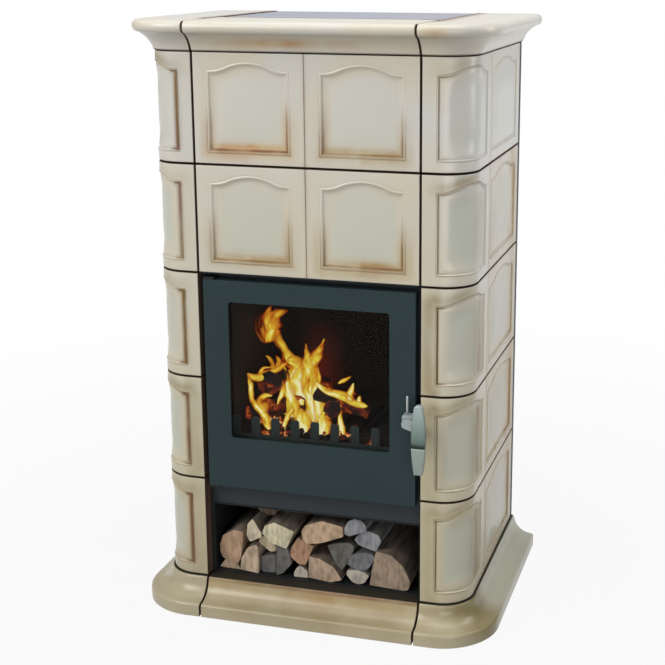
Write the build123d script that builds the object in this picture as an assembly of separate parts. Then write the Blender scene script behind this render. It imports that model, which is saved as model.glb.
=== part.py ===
from build123d import *
import math
import os

# A free-standing wood stove clad in glazed relief tiles, in millimetres.
# X runs to the right, Y to the back, Z up. The front faces -Y, and the origin
# is on the floor, under the centre of the whole stove.

# ---------------------------------------------------------------- driving sizes
ROW_PITCH = 200.0           # one row of tiles with its joint
ROWS = 5
DOOR_ROWS = 3               # rows of tiles beside door and wood store
JOINT = 3.5                 # open joint between neighbouring ceramic pieces
BODY_HALF = 300.0           # centre of the stove to the side tile faces
TILED_DEPTH = 425.0         # front tile faces to the back edge of the side tiles
CORNER_R = 60.0             # outer radius of the rounded tile corners
CORNER_LEG = 31.0           # flat front leg of a corner tile
TILE_T = 24.0               # tile from face to rim back
TILE_WALL = 13.0            # ceramic behind the face and round the hollow back
SEAT = 0.3                  # small clearance at seats
SHEET = 2.0                 # carcass sheet metal
PLINTH_H = 64.0
PLINTH_OUT = 48.0           # plinth in front of the tile faces
PLINTH_EDGE = 20.0          # height of its upright foot
PLINTH_ROUND = 6.0          # rounding over the foot and under the tiles
CORNICE_H = 53.0
CORNICE_OUT = 39.0          # cornice lip in front of the tile faces
CORNICE_LIP = 17.0          # height of the rounded lip
CORNICE_SLAB = 18.0         # ceramic under the cornice's flat top
CORNICE_DEPTH = 140.0       # front cornice piece, from the tile faces to the top plate
BASE_WALL = 3.0             # base frame's steel
BACK_HEM = 20.0             # depth of the back panel's folded edge
FLUE_R = 75.0
FLUE_WALL = 3.0
FLUE_OUT = 45.0             # flue spigot behind the back panel
FLUE_STEP = 1.5             # step that stops the stove pipe
FLUE_COLLAR = 18.0          # width of the spigot's welded collar
FLUE_COLLAR_T = 3.0

# relief of the tiles
PANEL_MARGIN = 27.0         # tile edge to the relief outline
PANEL_BOTTOM = 20.0
PANEL_SHOULDER = ROW_PITCH - 32.0
PANEL_PEAK = ROW_PITCH - 17.0
PANEL_LEDGE = 9.0           # short straight shoulder beside the arch
BEAD_W = 3.0
BEAD_H = 1.2
RECESS = 4.5                # depth of the recessed field
COVE_W = 6.0                # slope from the bead down to the field
GROOVE_D = 147.0            # upright groove on the side, behind the front tile faces
GROOVE_W = 2.4
GROOVE_DEPTH = 2.0
SIDE_PANEL_FRONT = GROOVE_D + 14.0
SIDE_PANEL_BACK = TILED_DEPTH - 30.0
CORNER_PANEL_BACK = GROOVE_D - 27.0

# door, its frame and the opening
CORNER_X = BODY_HALF - CORNER_R
JOINT_HALF = CORNER_X - CORNER_LEG          # centre of the stove to the upright joints beside the door
DOOR_GAP = 8.0                              # door edge to the middle of that joint
DOOR_HALF = JOINT_HALF - DOOR_GAP
DOOR_TOP_GAP = 12.0         # door's top below the joint under the front tiles
DOOR_TILES = 2              # rows of tiles that the door is as high as
DOOR_H = DOOR_TILES * ROW_PITCH
DOOR_BOTTOM = PLINTH_H + DOOR_ROWS * ROW_PITCH - DOOR_TOP_GAP - DOOR_H
DOOR_SHEET = 3.0
DOOR_DEPTH = 22.0
WINDOW_RAIL = 48.0          # door beside the window
WINDOW_HALF = DOOR_HALF - WINDOW_RAIL
WINDOW_SILL = 99.0          # door under the window
WINDOW_LOW = DOOR_BOTTOM + WINDOW_SILL
WINDOW_HIGH = DOOR_BOTTOM + DOOR_H - 40.0
WINDOW_R = 6.0
GLASS_LAP = 10.0
GLASS_T = 4.0
GASKET_T = 1.5
CHANNEL_W = 12.0
CHANNEL_D = 12.0
CHANNEL_HALF = DOOR_HALF - 17.0
CHANNEL_MARGIN = 6.0        # gasket channel in from the door's top and bottom edges
ROPE_W = 8.0
ROPE_SUNK = 4.0             # how deep the gasket sits in its channel
FRAME_T = 4.0
FRAME_HALF = CORNER_X
FIRE_HALF = DOOR_HALF - 36.0
FIRE_SILL = 86.0            # door's foot to the fire opening
FIRE_LOW = DOOR_BOTTOM + FIRE_SILL
FIRE_HIGH = WINDOW_HIGH + 10.0
ASH_RAIL = 71.0             # door's side to the ash opening
ASH_HALF = DOOR_HALF - ASH_RAIL
ASH_SILL = 64.0             # door's foot to the top of the ash opening
ASH_HIGH = DOOR_BOTTOM + ASH_SILL
NICHE_HIGH = DOOR_BOTTOM - 46.0             # lower edge of the frame over the wood store
NICHE_HALF = JOINT_HALF - 4.0
NICHE_DEPTH = TILED_DEPTH - 25.0            # back of the wood store behind the tile faces
LEDGE_T = 3.0               # steel ledge that carries the front tiles
LEDGE_IN = 5.5
LEDGE_FRONT = 4.0
HINGE_IN = 8.0              # hinge axis in from the door's edge and face
HINGE_R = 4.0
HINGE_PIN = 10.0
HINGE_PLATE_T = 4.0
HINGE_PLATE_W = 20.0
HINGE_PLATE_D = 1.5
FIT = 0.06                  # radial running clearance of pins and spindle
DOOR_PLAY = 0.3

# handle and latch
SPINDLE_X = DOOR_HALF - 9.0
SPINDLE_Z = DOOR_BOTTOM + DOOR_H * 0.42
SPINDLE_R = 5.0
BLOCK_W = 18.0
BLOCK_H = 22.0
BLOCK_D = 22.0
ARM_BACK = 26.0             # arm's back face in front of the door face
ARM_T = 8.0
ARM_W = 16.0
ARM_DROP = 8.0              # how far the arm's outer end is below the spindle
GRIP_X = DOOR_HALF + 16.0
GRIP_HANG = 90.0            # how far the grip reaches below the spindle
GRIP_LOW = SPINDLE_Z - GRIP_HANG
GRIP_HIGH = SPINDLE_Z + 36.0
GRIP_W = 26.0
GRIP_T = 10.0
GRIP_END_W = 15.0
GRIP_EDGE = 1.5             # bevel of the grip's front edges
BAND_Z = SPINDLE_Z - 38.0   # dark band between the grip's two parts
BAND_H = 5.0
BAND_INSET = 1.5
ROD_R = 2.2
ROD_H = 46.0                # top of the upright rod over the spindle
ROD_IN = 3.0
TONGUE_D = 12.0             # latch tongue behind the door face
TONGUE_T = 4.0
TONGUE_W = 10.0
TONGUE_REACH = 14.0
NUT_R = 5.5
NUT_T = 4.0
CATCH_T = 4.0
CATCH_W = 2.2
CATCH_GAP = 1.5             # catch beside the door's edge
CATCH_LEG = 6.0

# firebox
SHELL_HALF = JOINT_HALF - 19.0
SHELL_BACK = TILED_DEPTH - 30.0
SHELL_LOW = DOOR_BOTTOM + 4.0
SHELL_ROOM = 54.0           # air over the firebox, under the cornice
SHELL_HIGH = PLINTH_H + ROWS * ROW_PITCH - SHELL_ROOM
SHELL_T = 4.0
BRICK_T = 26.0
BRICK_SUNK = 22.0           # bricks' top below the top of the fire opening
BRICK_HIGH = FIRE_HIGH - BRICK_SUNK
HEARTH_T = 24.0
GRATE_SIZE = 200.0
GRATE_RIM = 18.0
GRATE_LAP = 8.0             # how far the grate lies on the shelf
GRATE_DROP = 4.0            # grate's top under the hearth bricks
GRATE_SLOTS = 9
GRATE_SLOT_W = 9.0
BAFFLE_T = 25.0
BAFFLE_GAP = 90.0           # smoke gap in front of the lower baffle
UPPER_BAFFLE_Z = BRICK_HIGH + ROW_PITCH
FLUE_DROP = 80.0            # middle of the flue below the firebox's roof
FLUE_Z = SHELL_HIGH - FLUE_DROP
DRAWER_WALL = 1.5
DRAWER_SIDE = 8.0           # room beside the drawer in its opening
DRAWER_HEAD = 6.0
DRAWER_BACK = 67.0          # room behind the drawer
DRAWER_PULL_HALF = 30.0
TEETH = 9
GUARD_END = 9.0             # opening's edge to the middle of the first tooth
TOOTH_PITCH = (FIRE_HALF - GUARD_END) * 2 / (TEETH - 1)
TOOTH_W = 16.0
TOOTH_UP = 46.0             # tooth's top over the fire opening's lower edge
TOOTH_TOP = FIRE_LOW + TOOTH_UP
TOOTH_H = 35.0
TOOTH_ROOT = TOOTH_TOP - TOOTH_H
GUARD_T = 3.0
GUARD_PLAY = 0.5

# air slide and openings in the back panel
PANEL_EDGE = 0.5            # back panel inside the side tiles, base and cornice
SLOTS = 9
SLOT_PITCH = 44.0
SLOT_W = 10.0
SLOT_H = 60.0
SLOT_IN = 50.0
AIR_HOLES = 3
AIR_PITCH = 40.0
AIR_R = 9.0                 # half width of the square air holes
AIR_TRAVEL = AIR_PITCH / 2
AIR_UP = 116.0              # air slide over the plinth
AIR_Z = PLINTH_H + AIR_UP
RAIL_H = 5.0
SLIDE_HALF_H = 20.0
SLIDE_HALF_W = 58.0
TAB_HALF = 12.0
SCREW_R = 4.5
SCREW_H = 2.5
SCREW_SIDE = 14.0
SCREW_END = 40.0
SCREW_ROWS = 4

# clips that hold the glass
CLIP_W = 14.0
CLIP_LAP = 7.0
CLIP_T = 2.0
CLIP_FOOT = 8.0
CLIP_X = WINDOW_HALF * 0.52
CLIP_HEAD_R = 3.6
CLIP_HEAD_H = 2.4

# firewood
LOG_FRONT = 30.0            # foremost log ends behind the tile faces
LOG_SIDE = 3.0              # store's wall to the first log
LOG_BEHIND = 38.0           # room behind the longest logs
LOG_LENGTH = NICHE_DEPTH - LOG_FRONT - LOG_BEHIND
STACK_SPARE = 24.0          # width of the store that the stack leaves free
STACK_HEADROOM = 8.0        # room over the stack

# ---------------------------------------------------------------- places worked out
TOTAL_DEPTH = PLINTH_OUT + TILED_DEPTH + BACK_HEM + FLUE_OUT
FRONT = PLINTH_OUT - TOTAL_DEPTH / 2        # Y of the front tile faces
BODY_TOP = PLINTH_H + ROWS * ROW_PITCH
TOP = BODY_TOP + CORNICE_H
CORNER_Y = FRONT + CORNER_R
SIDE_END = FRONT + TILED_DEPTH
BACK = SIDE_END + BACK_HEM
CARRIER = TILE_T + SEAT                     # front of the carcass sheets
FRAME_D = CARRIER + SHEET                   # front of the door frame
DOOR_TOP = DOOR_BOTTOM + DOOR_H
TILE_H = ROW_PITCH - JOINT
LINTEL_Z = PLINTH_H + DOOR_ROWS * ROW_PITCH + JOINT / 2
QUARTER = 90.0
COS45 = math.cos(math.pi / 4)


def save(name, *solids):
    """Writes one named piece, which may be a group of like solids."""
    shape = solids[0] if len(solids) == 1 else Compound(children=list(solids))
    export_step(shape, os.path.join("parts", name + ".step"))


def box(x0, x1, d0, d1, z0, z1):
    """A block between two places on each axis, with depths counted from the tile faces."""
    size = (x1 - x0, d1 - d0, z1 - z0)
    centre = ((x0 + x1) / 2, FRONT + (d0 + d1) / 2, (z0 + z1) / 2)
    return Pos(*centre) * Box(*size)


def rod(x, d, z, radius, length, direction):
    """A round bar that starts at a point and runs along a direction."""
    plane = Plane(origin=(x, FRONT + d, z), z_dir=direction)
    return extrude(plane * Circle(radius), length)


def hexagon(x, d, z, radius, length):
    """A hexagonal bar or screw head that starts at a point and runs to the back."""
    plane = Plane(origin=(x, FRONT + d, z), z_dir=(0, 1, 0))
    return extrude(plane * RegularPolygon(radius, 6), length)


def mirrored(shape):
    return mirror(shape, about=Plane.YZ)


# ---------------------------------------------------------------- plans and mouldings
def wrap_plan(outer, inner, x_start, y_end):
    """Plan of a band round the right front corner, between two offsets outwards from the tile faces."""
    def turn(offset):
        radius = CORNER_R + offset
        return (
            (CORNER_X, CORNER_Y - radius),
            (CORNER_X + radius * COS45, CORNER_Y - radius * COS45),
            (CORNER_X + radius, CORNER_Y),
        )

    a = turn(outer)
    b = turn(inner)
    edges = [
        Line((x_start, a[0][1]), a[0]),
        ThreePointArc(*a),
        Line(a[2], (a[2][0], y_end)),
        Line((a[2][0], y_end), (b[2][0], y_end)),
        Line((b[2][0], y_end), b[2]),
        ThreePointArc(b[2], b[1], b[0]),
        Line(b[0], (x_start, b[0][1])),
        Line((x_start, b[0][1]), (x_start, a[0][1])),
    ]
    return make_face(edges)


def wrap_band(outer, inner, x_start, y_end, z0, z1):
    return Pos(0, 0, z0) * extrude(wrap_plan(outer, inner, x_start, y_end), z1 - z0)


def body_plan(offset, y_end):
    """Plan of the whole body with its two rounded front corners, offset from the tile faces."""
    radius = CORNER_R + offset
    half = BODY_HALF + offset
    front = FRONT - offset
    low = (CORNER_X + radius * COS45, CORNER_Y - radius * COS45)
    edges = [
        Line((-CORNER_X, front), (CORNER_X, front)),
        ThreePointArc((CORNER_X, front), low, (half, CORNER_Y)),
        Line((half, CORNER_Y), (half, y_end)),
        Line((half, y_end), (-half, y_end)),
        Line((-half, y_end), (-half, CORNER_Y)),
        ThreePointArc((-half, CORNER_Y), (-low[0], low[1]), (-CORNER_X, front)),
    ]
    return make_face(edges)


def facets(arc, count):
    """An arc as a few straight facets, which keeps a moulding that turns a corner light."""
    return Polyline(*[arc @ (i / count) for i in range(count + 1)])


def plinth_profile():
    """Section of the plinth: outwards from the tile face, and up."""
    soft = PLINTH_ROUND
    edge = PLINTH_OUT - soft
    cove_top = (soft, PLINTH_H - soft)
    cove_foot = (edge, PLINTH_EDGE + soft)
    bend = soft * 0.3
    cove_middle = (edge * 0.45, PLINTH_EDGE + (PLINTH_H - PLINTH_EDGE) * 0.34)
    nose = ThreePointArc((PLINTH_OUT, PLINTH_EDGE), (PLINTH_OUT - bend, PLINTH_EDGE + soft - bend), cove_foot)
    cove = ThreePointArc(cove_foot, cove_middle, cove_top)
    brow = ThreePointArc(cove_top, (soft - bend, PLINTH_H - bend), (0, PLINTH_H))
    edges = [
        Line((-TILE_T, 0), (PLINTH_OUT, 0)),
        Line((PLINTH_OUT, 0), (PLINTH_OUT, PLINTH_EDGE)),
        facets(nose, 2),
        facets(cove, 6),
        facets(brow, 2),
        Line((0, PLINTH_H), (-TILE_T, PLINTH_H)),
        Line((-TILE_T, PLINTH_H), (-TILE_T, 0)),
    ]
    return make_face(edges)


def cornice_profile():
    """Section of the cornice's outer part: outwards from the tile face, and up from its bed."""
    crease = (CORNICE_OUT - CORNICE_LIP / 2, CORNICE_H - CORNICE_LIP)
    lip_top = CORNICE_OUT - CORNICE_LIP * 0.4
    foot = CORNICE_LIP * 0.12
    sweep = ThreePointArc((foot, 0), (CORNICE_OUT * 0.24, CORNICE_H * 0.35), crease)
    lip = ThreePointArc(crease, (CORNICE_OUT, CORNICE_H - CORNICE_LIP / 2), (lip_top, CORNICE_H))
    edges = [
        Line((-TILE_T, 0), (foot, 0)),
        facets(sweep, 5),
        facets(lip, 6),
        Line((lip_top, CORNICE_H), (-TILE_T, CORNICE_H)),
        Line((-TILE_T, CORNICE_H), (-TILE_T, 0)),
    ]
    return make_face(edges)


def straight_moulding(profile, half, z):
    """A front moulding, centred, with its section looking along X."""
    plane = Plane(origin=(-half, FRONT, z), x_dir=(0, -1, 0), z_dir=(-1, 0, 0))
    return extrude(plane * profile, -2 * half)


def wrapped_moulding(profile, x_start, z):
    """The right-hand moulding: along the front, round the corner and back along the side."""
    front = Plane(origin=(CORNER_X, FRONT, z), x_dir=(0, -1, 0), z_dir=(-1, 0, 0))
    side = Plane(origin=(BODY_HALF, CORNER_Y, z), x_dir=(1, 0, 0), z_dir=(0, -1, 0))
    run = extrude(front * profile, CORNER_X - x_start)
    bend = revolve(front * profile, Axis((CORNER_X, CORNER_Y, 0), (0, 0, 1)), QUARTER)
    back = extrude(side * profile, -(BACK - CORNER_Y))
    return run + bend + back


# ---------------------------------------------------------------- relief of the tiles
def arch_outline(width, inset):
    """Outline of an arched panel, centred on X, its Y measured up from the tile's foot."""
    half = width / 2 - inset
    low = PANEL_BOTTOM + inset
    shoulder = PANEL_SHOULDER - inset
    peak = PANEL_PEAK - inset
    rise = peak - shoulder
    ledge = (half - PANEL_LEDGE, shoulder)
    turn = (half * 0.5, shoulder + rise * 0.55)
    dip = ((ledge[0] + turn[0]) / 2, shoulder + rise * 0.16)
    left_turn = (-turn[0], turn[1])
    left_ledge = (-ledge[0], ledge[1])
    edges = [
        Line((-half, low), (half, low)),
        Line((half, low), (half, shoulder)),
        Line((half, shoulder), ledge),
        facets(ThreePointArc(ledge, dip, turn), 2),
        facets(ThreePointArc(turn, (0, peak), left_turn), 4),
        facets(ThreePointArc(left_turn, (-dip[0], dip[1]), left_ledge), 2),
        Line(left_ledge, (-half, shoulder)),
        Line((-half, shoulder), (-half, low)),
    ]
    return make_face(edges)


def flat_relief(plane, width):
    """Bead and recess of a panel on a flat face, as one solid to add and one to cut."""
    bead = extrude(plane * (arch_outline(width, 0) - arch_outline(width, BEAD_W)), BEAD_H)
    mouth = plane.offset(0.0) * arch_outline(width, BEAD_W)
    field = plane.offset(-RECESS) * arch_outline(width, BEAD_W + COVE_W)
    recess = loft([mouth, field], ruled=True)
    return bead, recess


def corner_recess(z):
    """Recess of the panel that wraps the rounded corner, cut along the corner's diagonal."""
    start = (JOINT_HALF + PANEL_MARGIN - CORNER_X) * COS45
    end = CORNER_PANEL_BACK * COS45
    middle = (start + end) / 2
    origin = (CORNER_X + middle * COS45, FRONT + middle * COS45, z)
    plane = Plane(origin=origin, x_dir=(COS45, COS45, 0), z_dir=(COS45, -COS45, 0))
    panel = extrude(plane * arch_outline(end - start, BEAD_W), CORNER_R * 3, both=True)
    skin = wrap_band(1.0, -RECESS, JOINT_HALF, FRONT + GROOVE_D, z, z + ROW_PITCH)
    return skin & panel


def corner_tile(z):
    """One ceramic tile: a front leg, the rounded corner and the flat side, with a hollow back."""
    foot = z + JOINT / 2
    head = foot + TILE_H
    x_start = JOINT_HALF + JOINT / 2
    body = wrap_band(0, -TILE_T, x_start, SIDE_END, foot, head)
    hollow = wrap_band(-TILE_WALL, -TILE_T - 1.0, x_start + TILE_WALL, SIDE_END - TILE_WALL,
                       foot + TILE_WALL, head - TILE_WALL)
    groove_y = GROOVE_D + GROOVE_W
    groove = box(BODY_HALF - GROOVE_DEPTH, BODY_HALF + 1.0, GROOVE_D, groove_y, foot, head)
    middle = (SIDE_PANEL_FRONT + SIDE_PANEL_BACK) / 2
    side = Plane(origin=(BODY_HALF, FRONT + middle, z), x_dir=(0, 1, 0), z_dir=(1, 0, 0))
    side_bead, side_recess = flat_relief(side, SIDE_PANEL_BACK - SIDE_PANEL_FRONT)
    return body + side_bead - corner_recess(z) - side_recess - hollow - groove


def front_tile(z):
    """One double tile over the door: two arched panels either side of a shallow groove."""
    half = JOINT_HALF - JOINT / 2
    foot = z + JOINT / 2
    body = box(-half, half, 0, TILE_T, foot, foot + TILE_H)
    pocket_low = foot + TILE_WALL
    pocket_high = foot + TILE_H - TILE_WALL
    panel_width = JOINT_HALF - 2 * PANEL_MARGIN + 2.0
    for side in (-1, 1):
        x0, x1 = sorted((side * TILE_WALL / 2, side * (half - TILE_WALL)))
        body -= box(x0, x1, TILE_WALL, TILE_T + 1.0, pocket_low, pocket_high)
        plane = Plane(origin=(side * JOINT_HALF / 2, FRONT, z), x_dir=(1, 0, 0), z_dir=(0, -1, 0))
        bead, recess = flat_relief(plane, panel_width)
        body = body + bead - recess
    return body - box(-GROOVE_W / 2, GROOVE_W / 2, -1.0, GROOVE_DEPTH, foot, foot + TILE_H)


# ---------------------------------------------------------------- ceramics
def make_ceramics():
    run_half = JOINT_HALF - JOINT / 2
    x_start = JOINT_HALF + JOINT / 2
    save("plinth_front", straight_moulding(plinth_profile(), run_half, 0))
    plinth_right = wrapped_moulding(plinth_profile(), x_start, 0)
    save("plinth_right", plinth_right)
    save("plinth_left", mirrored(plinth_right))

    tile = corner_tile(PLINTH_H)
    for row in range(ROWS):
        placed = Pos(0, 0, row * ROW_PITCH) * tile
        name = str(ROWS - row)
        save("corner_tile_right_" + name, placed)
        save("corner_tile_left_" + name, mirrored(placed))
    save("front_tile_lower", front_tile(PLINTH_H + DOOR_ROWS * ROW_PITCH))
    save("front_tile_upper", front_tile(PLINTH_H + (DOOR_ROWS + 1) * ROW_PITCH))

    bed = BODY_TOP
    slab_low = TOP - CORNICE_SLAB
    front = straight_moulding(cornice_profile(), run_half, bed)
    front += box(-run_half, run_half, TILE_T - 1.0, CORNICE_DEPTH, slab_low, TOP)
    front += box(-run_half, run_half, CORNICE_DEPTH - TILE_WALL, CORNICE_DEPTH, bed, TOP)
    save("cornice_front", front)
    side = wrapped_moulding(cornice_profile(), x_start, bed)
    inner = BODY_HALF - TILE_T + 1.0
    depth = TILED_DEPTH + BACK_HEM
    side += box(x_start, inner, TILE_T - 1.0, depth, slab_low, TOP)
    side += box(x_start, x_start + TILE_WALL, TILE_T - 1.0, depth, bed, TOP)
    save("cornice_right", side)
    save("cornice_left", mirrored(side))


# ---------------------------------------------------------------- steel carcass
def make_carcass():
    inside = -CARRIER
    wall = BASE_WALL
    ring = extrude(body_plan(inside, SIDE_END), PLINTH_H)
    ring -= Pos(0, 0, -wall) * extrude(body_plan(inside - wall, SIDE_END - wall), PLINTH_H)
    save("base_frame", ring)

    sheet = wrap_band(-CARRIER, -CARRIER - SHEET, NICHE_HALF, SIDE_END, PLINTH_H, BODY_TOP - SHEET)
    save("side_panel_right", sheet)
    save("side_panel_left", mirrored(sheet))
    save("carcass_top", Pos(0, 0, BODY_TOP - SHEET) * extrude(body_plan(inside, SIDE_END), SHEET))
    save("upper_front_panel", box(-NICHE_HALF, NICHE_HALF, CARRIER, FRAME_D, LINTEL_Z, BODY_TOP - SHEET))

    top_back = TILED_DEPTH + BACK_HEM
    run_half = JOINT_HALF - JOINT / 2
    lid = box(-run_half, run_half, CORNICE_DEPTH + JOINT, top_back, BODY_TOP, TOP - 1.0)
    lid -= box(-run_half + SHEET, run_half - SHEET, CORNICE_DEPTH + JOINT + SHEET, top_back - SHEET,
               BODY_TOP - 1.0, TOP - 1.0 - 2 * SHEET)
    save("top_plate", lid)
    make_back_panel()
    make_front_frame()
    make_wood_store()


def make_back_panel():
    half = BODY_HALF - PANEL_EDGE
    low = PLINTH_H + PANEL_EDGE
    high = BODY_TOP - PANEL_EDGE
    d0 = TILED_DEPTH
    d1 = TILED_DEPTH + SHEET
    d2 = TILED_DEPTH + BACK_HEM
    panel = box(-half, half, d0, d2, low, high)
    panel -= box(-half + SHEET, half - SHEET, d1, d2 + 1.0, low + SHEET, high - SHEET)
    for z in (low + SLOT_IN, high - SLOT_IN):
        for i in range(SLOTS):
            x = (i - (SLOTS - 1) / 2) * SLOT_PITCH
            slot = box(x - SLOT_W / 2, x + SLOT_W / 2, d0 - 1.0, d1 + 1.0, z - SLOT_H / 2, z + SLOT_H / 2)
            panel -= slot
    panel -= rod(0, d0 - 1.0, FLUE_Z, FLUE_R + RAIL_H, SHEET + 2.0, (0, 1, 0))
    for i in range(AIR_HOLES):
        x = (i - (AIR_HOLES - 1) / 2) * AIR_PITCH
        panel -= box(x - AIR_R, x + AIR_R, d0 - 1.0, d1 + 1.0, AIR_Z - AIR_R, AIR_Z + AIR_R)
    left_end = -SLIDE_HALF_W - SEAT
    right_end = SLIDE_HALF_W + AIR_TRAVEL + SEAT
    for side in (-1, 1):
        seat = AIR_Z + side * (SLIDE_HALF_H + SEAT)
        outer = seat + side * RAIL_H
        inner = seat - side * RAIL_H / 2
        z0, z1 = sorted((seat, outer))
        panel += box(left_end - RAIL_H, right_end + RAIL_H, d1, d1 + 2 * SHEET, z0, z1)
        z0, z1 = sorted((inner, outer))
        panel += box(left_end - RAIL_H, right_end + RAIL_H, d1 + SHEET + SEAT, d1 + 2 * SHEET, z0, z1)
    stop_half = SLIDE_HALF_H + SEAT + RAIL_H
    for x0, x1 in ((left_end - RAIL_H, left_end), (right_end, right_end + RAIL_H)):
        panel += box(x0, x1, d1, d1 + 2 * SHEET, AIR_Z - stop_half, AIR_Z + stop_half)
    save("back_panel", panel)

    slide_d = d1 + SEAT / 2
    slide_low = AIR_Z - SLIDE_HALF_H
    slide_high = AIR_Z + SLIDE_HALF_H
    slide = box(-SLIDE_HALF_W, SLIDE_HALF_W, slide_d, slide_d + SHEET, slide_low, slide_high)
    for i in range(AIR_HOLES):
        x = (i - (AIR_HOLES - 1) / 2) * AIR_PITCH
        slide -= box(x - AIR_R, x + AIR_R, d1 - 1.0, d2, AIR_Z - AIR_R, AIR_Z + AIR_R)
    tab_x = SLIDE_HALF_W - SHEET
    slide += box(tab_x, tab_x + SHEET, slide_d, d2 - 0.5, AIR_Z - TAB_HALF, AIR_Z + TAB_HALF)
    save("air_slide", slide)

    screws = []
    for x in (-half + SCREW_SIDE, half - SCREW_SIDE):
        for i in range(SCREW_ROWS):
            z = low + SCREW_END + i * (high - low - 2 * SCREW_END) / (SCREW_ROWS - 1)
            screws.append(hexagon(x, d1, z, SCREW_R, SCREW_H))
    save("back_panel_screws", *screws)


def make_front_frame():
    frame = box(-FRAME_HALF, FRAME_HALF, FRAME_D, FRAME_D + FRAME_T, NICHE_HIGH, LINTEL_Z)
    frame -= box(-FIRE_HALF, FIRE_HALF, FRAME_D - 1.0, FRAME_D + FRAME_T + 1.0, FIRE_LOW, FIRE_HIGH)
    frame -= box(-ASH_HALF, ASH_HALF, FRAME_D - 1.0, FRAME_D + FRAME_T + 1.0, SHELL_LOW + SHELL_T, ASH_HIGH)
    ledge_half = JOINT_HALF - LEDGE_IN
    frame += box(-ledge_half, ledge_half, LEDGE_FRONT, FRAME_D, LINTEL_Z - LEDGE_T, LINTEL_Z)
    save("front_frame", frame)


def make_wood_store():
    outer = box(-NICHE_HALF, NICHE_HALF, TILE_T + SEAT, NICHE_DEPTH, PLINTH_H, NICHE_HIGH)
    outer -= box(-NICHE_HALF + SHEET, NICHE_HALF - SHEET, 0, NICHE_DEPTH - SHEET,
                 PLINTH_H + SHEET, NICHE_HIGH - SHEET)
    save("wood_store_liner", outer)


# ---------------------------------------------------------------- firebox
def make_firebox():
    """The shell is welded from flat plates, which stay separate solids in its node."""
    shell_front = FRAME_D + FRAME_T
    inner_front = shell_front + SHELL_T
    inner_back = SHELL_BACK - SHELL_T
    inner_half = SHELL_HALF - SHELL_T
    shelf_low = ASH_HIGH
    hearth_low = ASH_HIGH + SHELL_T
    hearth_high = hearth_low + HEARTH_T
    grate_half = GRATE_SIZE / 2
    grate_mid = (inner_front + inner_back - BRICK_T) / 2
    hole = grate_half - GRATE_LAP
    front = box(-SHELL_HALF, SHELL_HALF, shell_front, inner_front, SHELL_LOW, SHELL_HIGH)
    front -= box(-FIRE_HALF, FIRE_HALF, shell_front - 1.0, inner_front + 1.0, hearth_low, FIRE_HIGH)
    front -= box(-ASH_HALF, ASH_HALF, shell_front - 1.0, inner_front + 1.0, SHELL_LOW + SHELL_T, ASH_HIGH)
    back = box(-SHELL_HALF, SHELL_HALF, inner_back, SHELL_BACK, SHELL_LOW, SHELL_HIGH)
    back -= rod(0, inner_back - 1.0, FLUE_Z, FLUE_R + FLUE_STEP + SEAT, SHELL_T + 2.0, (0, 1, 0))
    wall = box(inner_half, SHELL_HALF, inner_front, inner_back, SHELL_LOW, SHELL_HIGH)
    floor = box(-inner_half, inner_half, inner_front, inner_back, SHELL_LOW, SHELL_LOW + SHELL_T)
    roof = box(-inner_half, inner_half, inner_front, inner_back, SHELL_HIGH - SHELL_T, SHELL_HIGH)
    shelf = box(-inner_half, inner_half, inner_front, inner_back, shelf_low, hearth_low)
    shelf -= box(-hole, hole, grate_mid - hole, grate_mid + hole, shelf_low - 1.0, hearth_low + 1.0)
    save("firebox_shell", front, back, wall, mirrored(wall), floor, roof, shelf)

    hearth = box(-inner_half, inner_half, inner_front, inner_back, hearth_low, hearth_high)
    clear = grate_half + 1.0
    hearth -= box(-clear, clear, grate_mid - clear, grate_mid + clear, hearth_low - 1.0, hearth_high + 1.0)
    save("hearth_bricks", hearth)

    grate_front = grate_mid - grate_half
    grate_back = grate_mid + grate_half
    grate = box(-grate_half, grate_half, grate_front, grate_back, hearth_low, hearth_high - GRATE_DROP)
    pitch = GRATE_SIZE / (GRATE_SLOTS + 1)
    for i in range(GRATE_SLOTS):
        x = -grate_half + (i + 1) * pitch
        grate -= box(x - GRATE_SLOT_W / 2, x + GRATE_SLOT_W / 2, grate_front + GRATE_RIM,
                     grate_back - GRATE_RIM, hearth_low - 1.0, hearth_high)
    save("fire_grate", grate)

    brick_in = inner_half - BRICK_T
    brick = box(brick_in, inner_half, inner_front, inner_back, hearth_high, BRICK_HIGH)
    save("brick_right", brick)
    save("brick_left", mirrored(brick))
    save("brick_back", box(-brick_in, brick_in, inner_back - BRICK_T, inner_back, hearth_high, BRICK_HIGH))
    save("baffle_plate", box(-inner_half, inner_half, inner_front + BAFFLE_GAP, inner_back,
                             BRICK_HIGH, BRICK_HIGH + BAFFLE_T))
    save("upper_baffle", box(-inner_half, inner_half, inner_front, inner_back - BAFFLE_GAP,
                             UPPER_BAFFLE_Z, UPPER_BAFFLE_Z + SHELL_T))
    make_flue()
    make_log_guard(hearth_low)
    make_ash_drawer(inner_front)


def make_flue():
    """The spigot, with a step at the back panel where a stove pipe comes to rest."""
    start = SHELL_BACK - SHELL_T
    step = TILED_DEPTH + BACK_HEM
    tube = rod(0, start, FLUE_Z, FLUE_R + FLUE_STEP, step - start, (0, 1, 0))
    tube += rod(0, step, FLUE_Z, FLUE_R, FLUE_OUT, (0, 1, 0))
    tube += rod(0, SHELL_BACK, FLUE_Z, FLUE_R + FLUE_COLLAR, FLUE_COLLAR_T, (0, 1, 0))
    tube -= rod(0, start - 1.0, FLUE_Z, FLUE_R - FLUE_WALL, step + FLUE_OUT - start + 2.0, (0, 1, 0))
    save("flue_spigot", tube)


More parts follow.
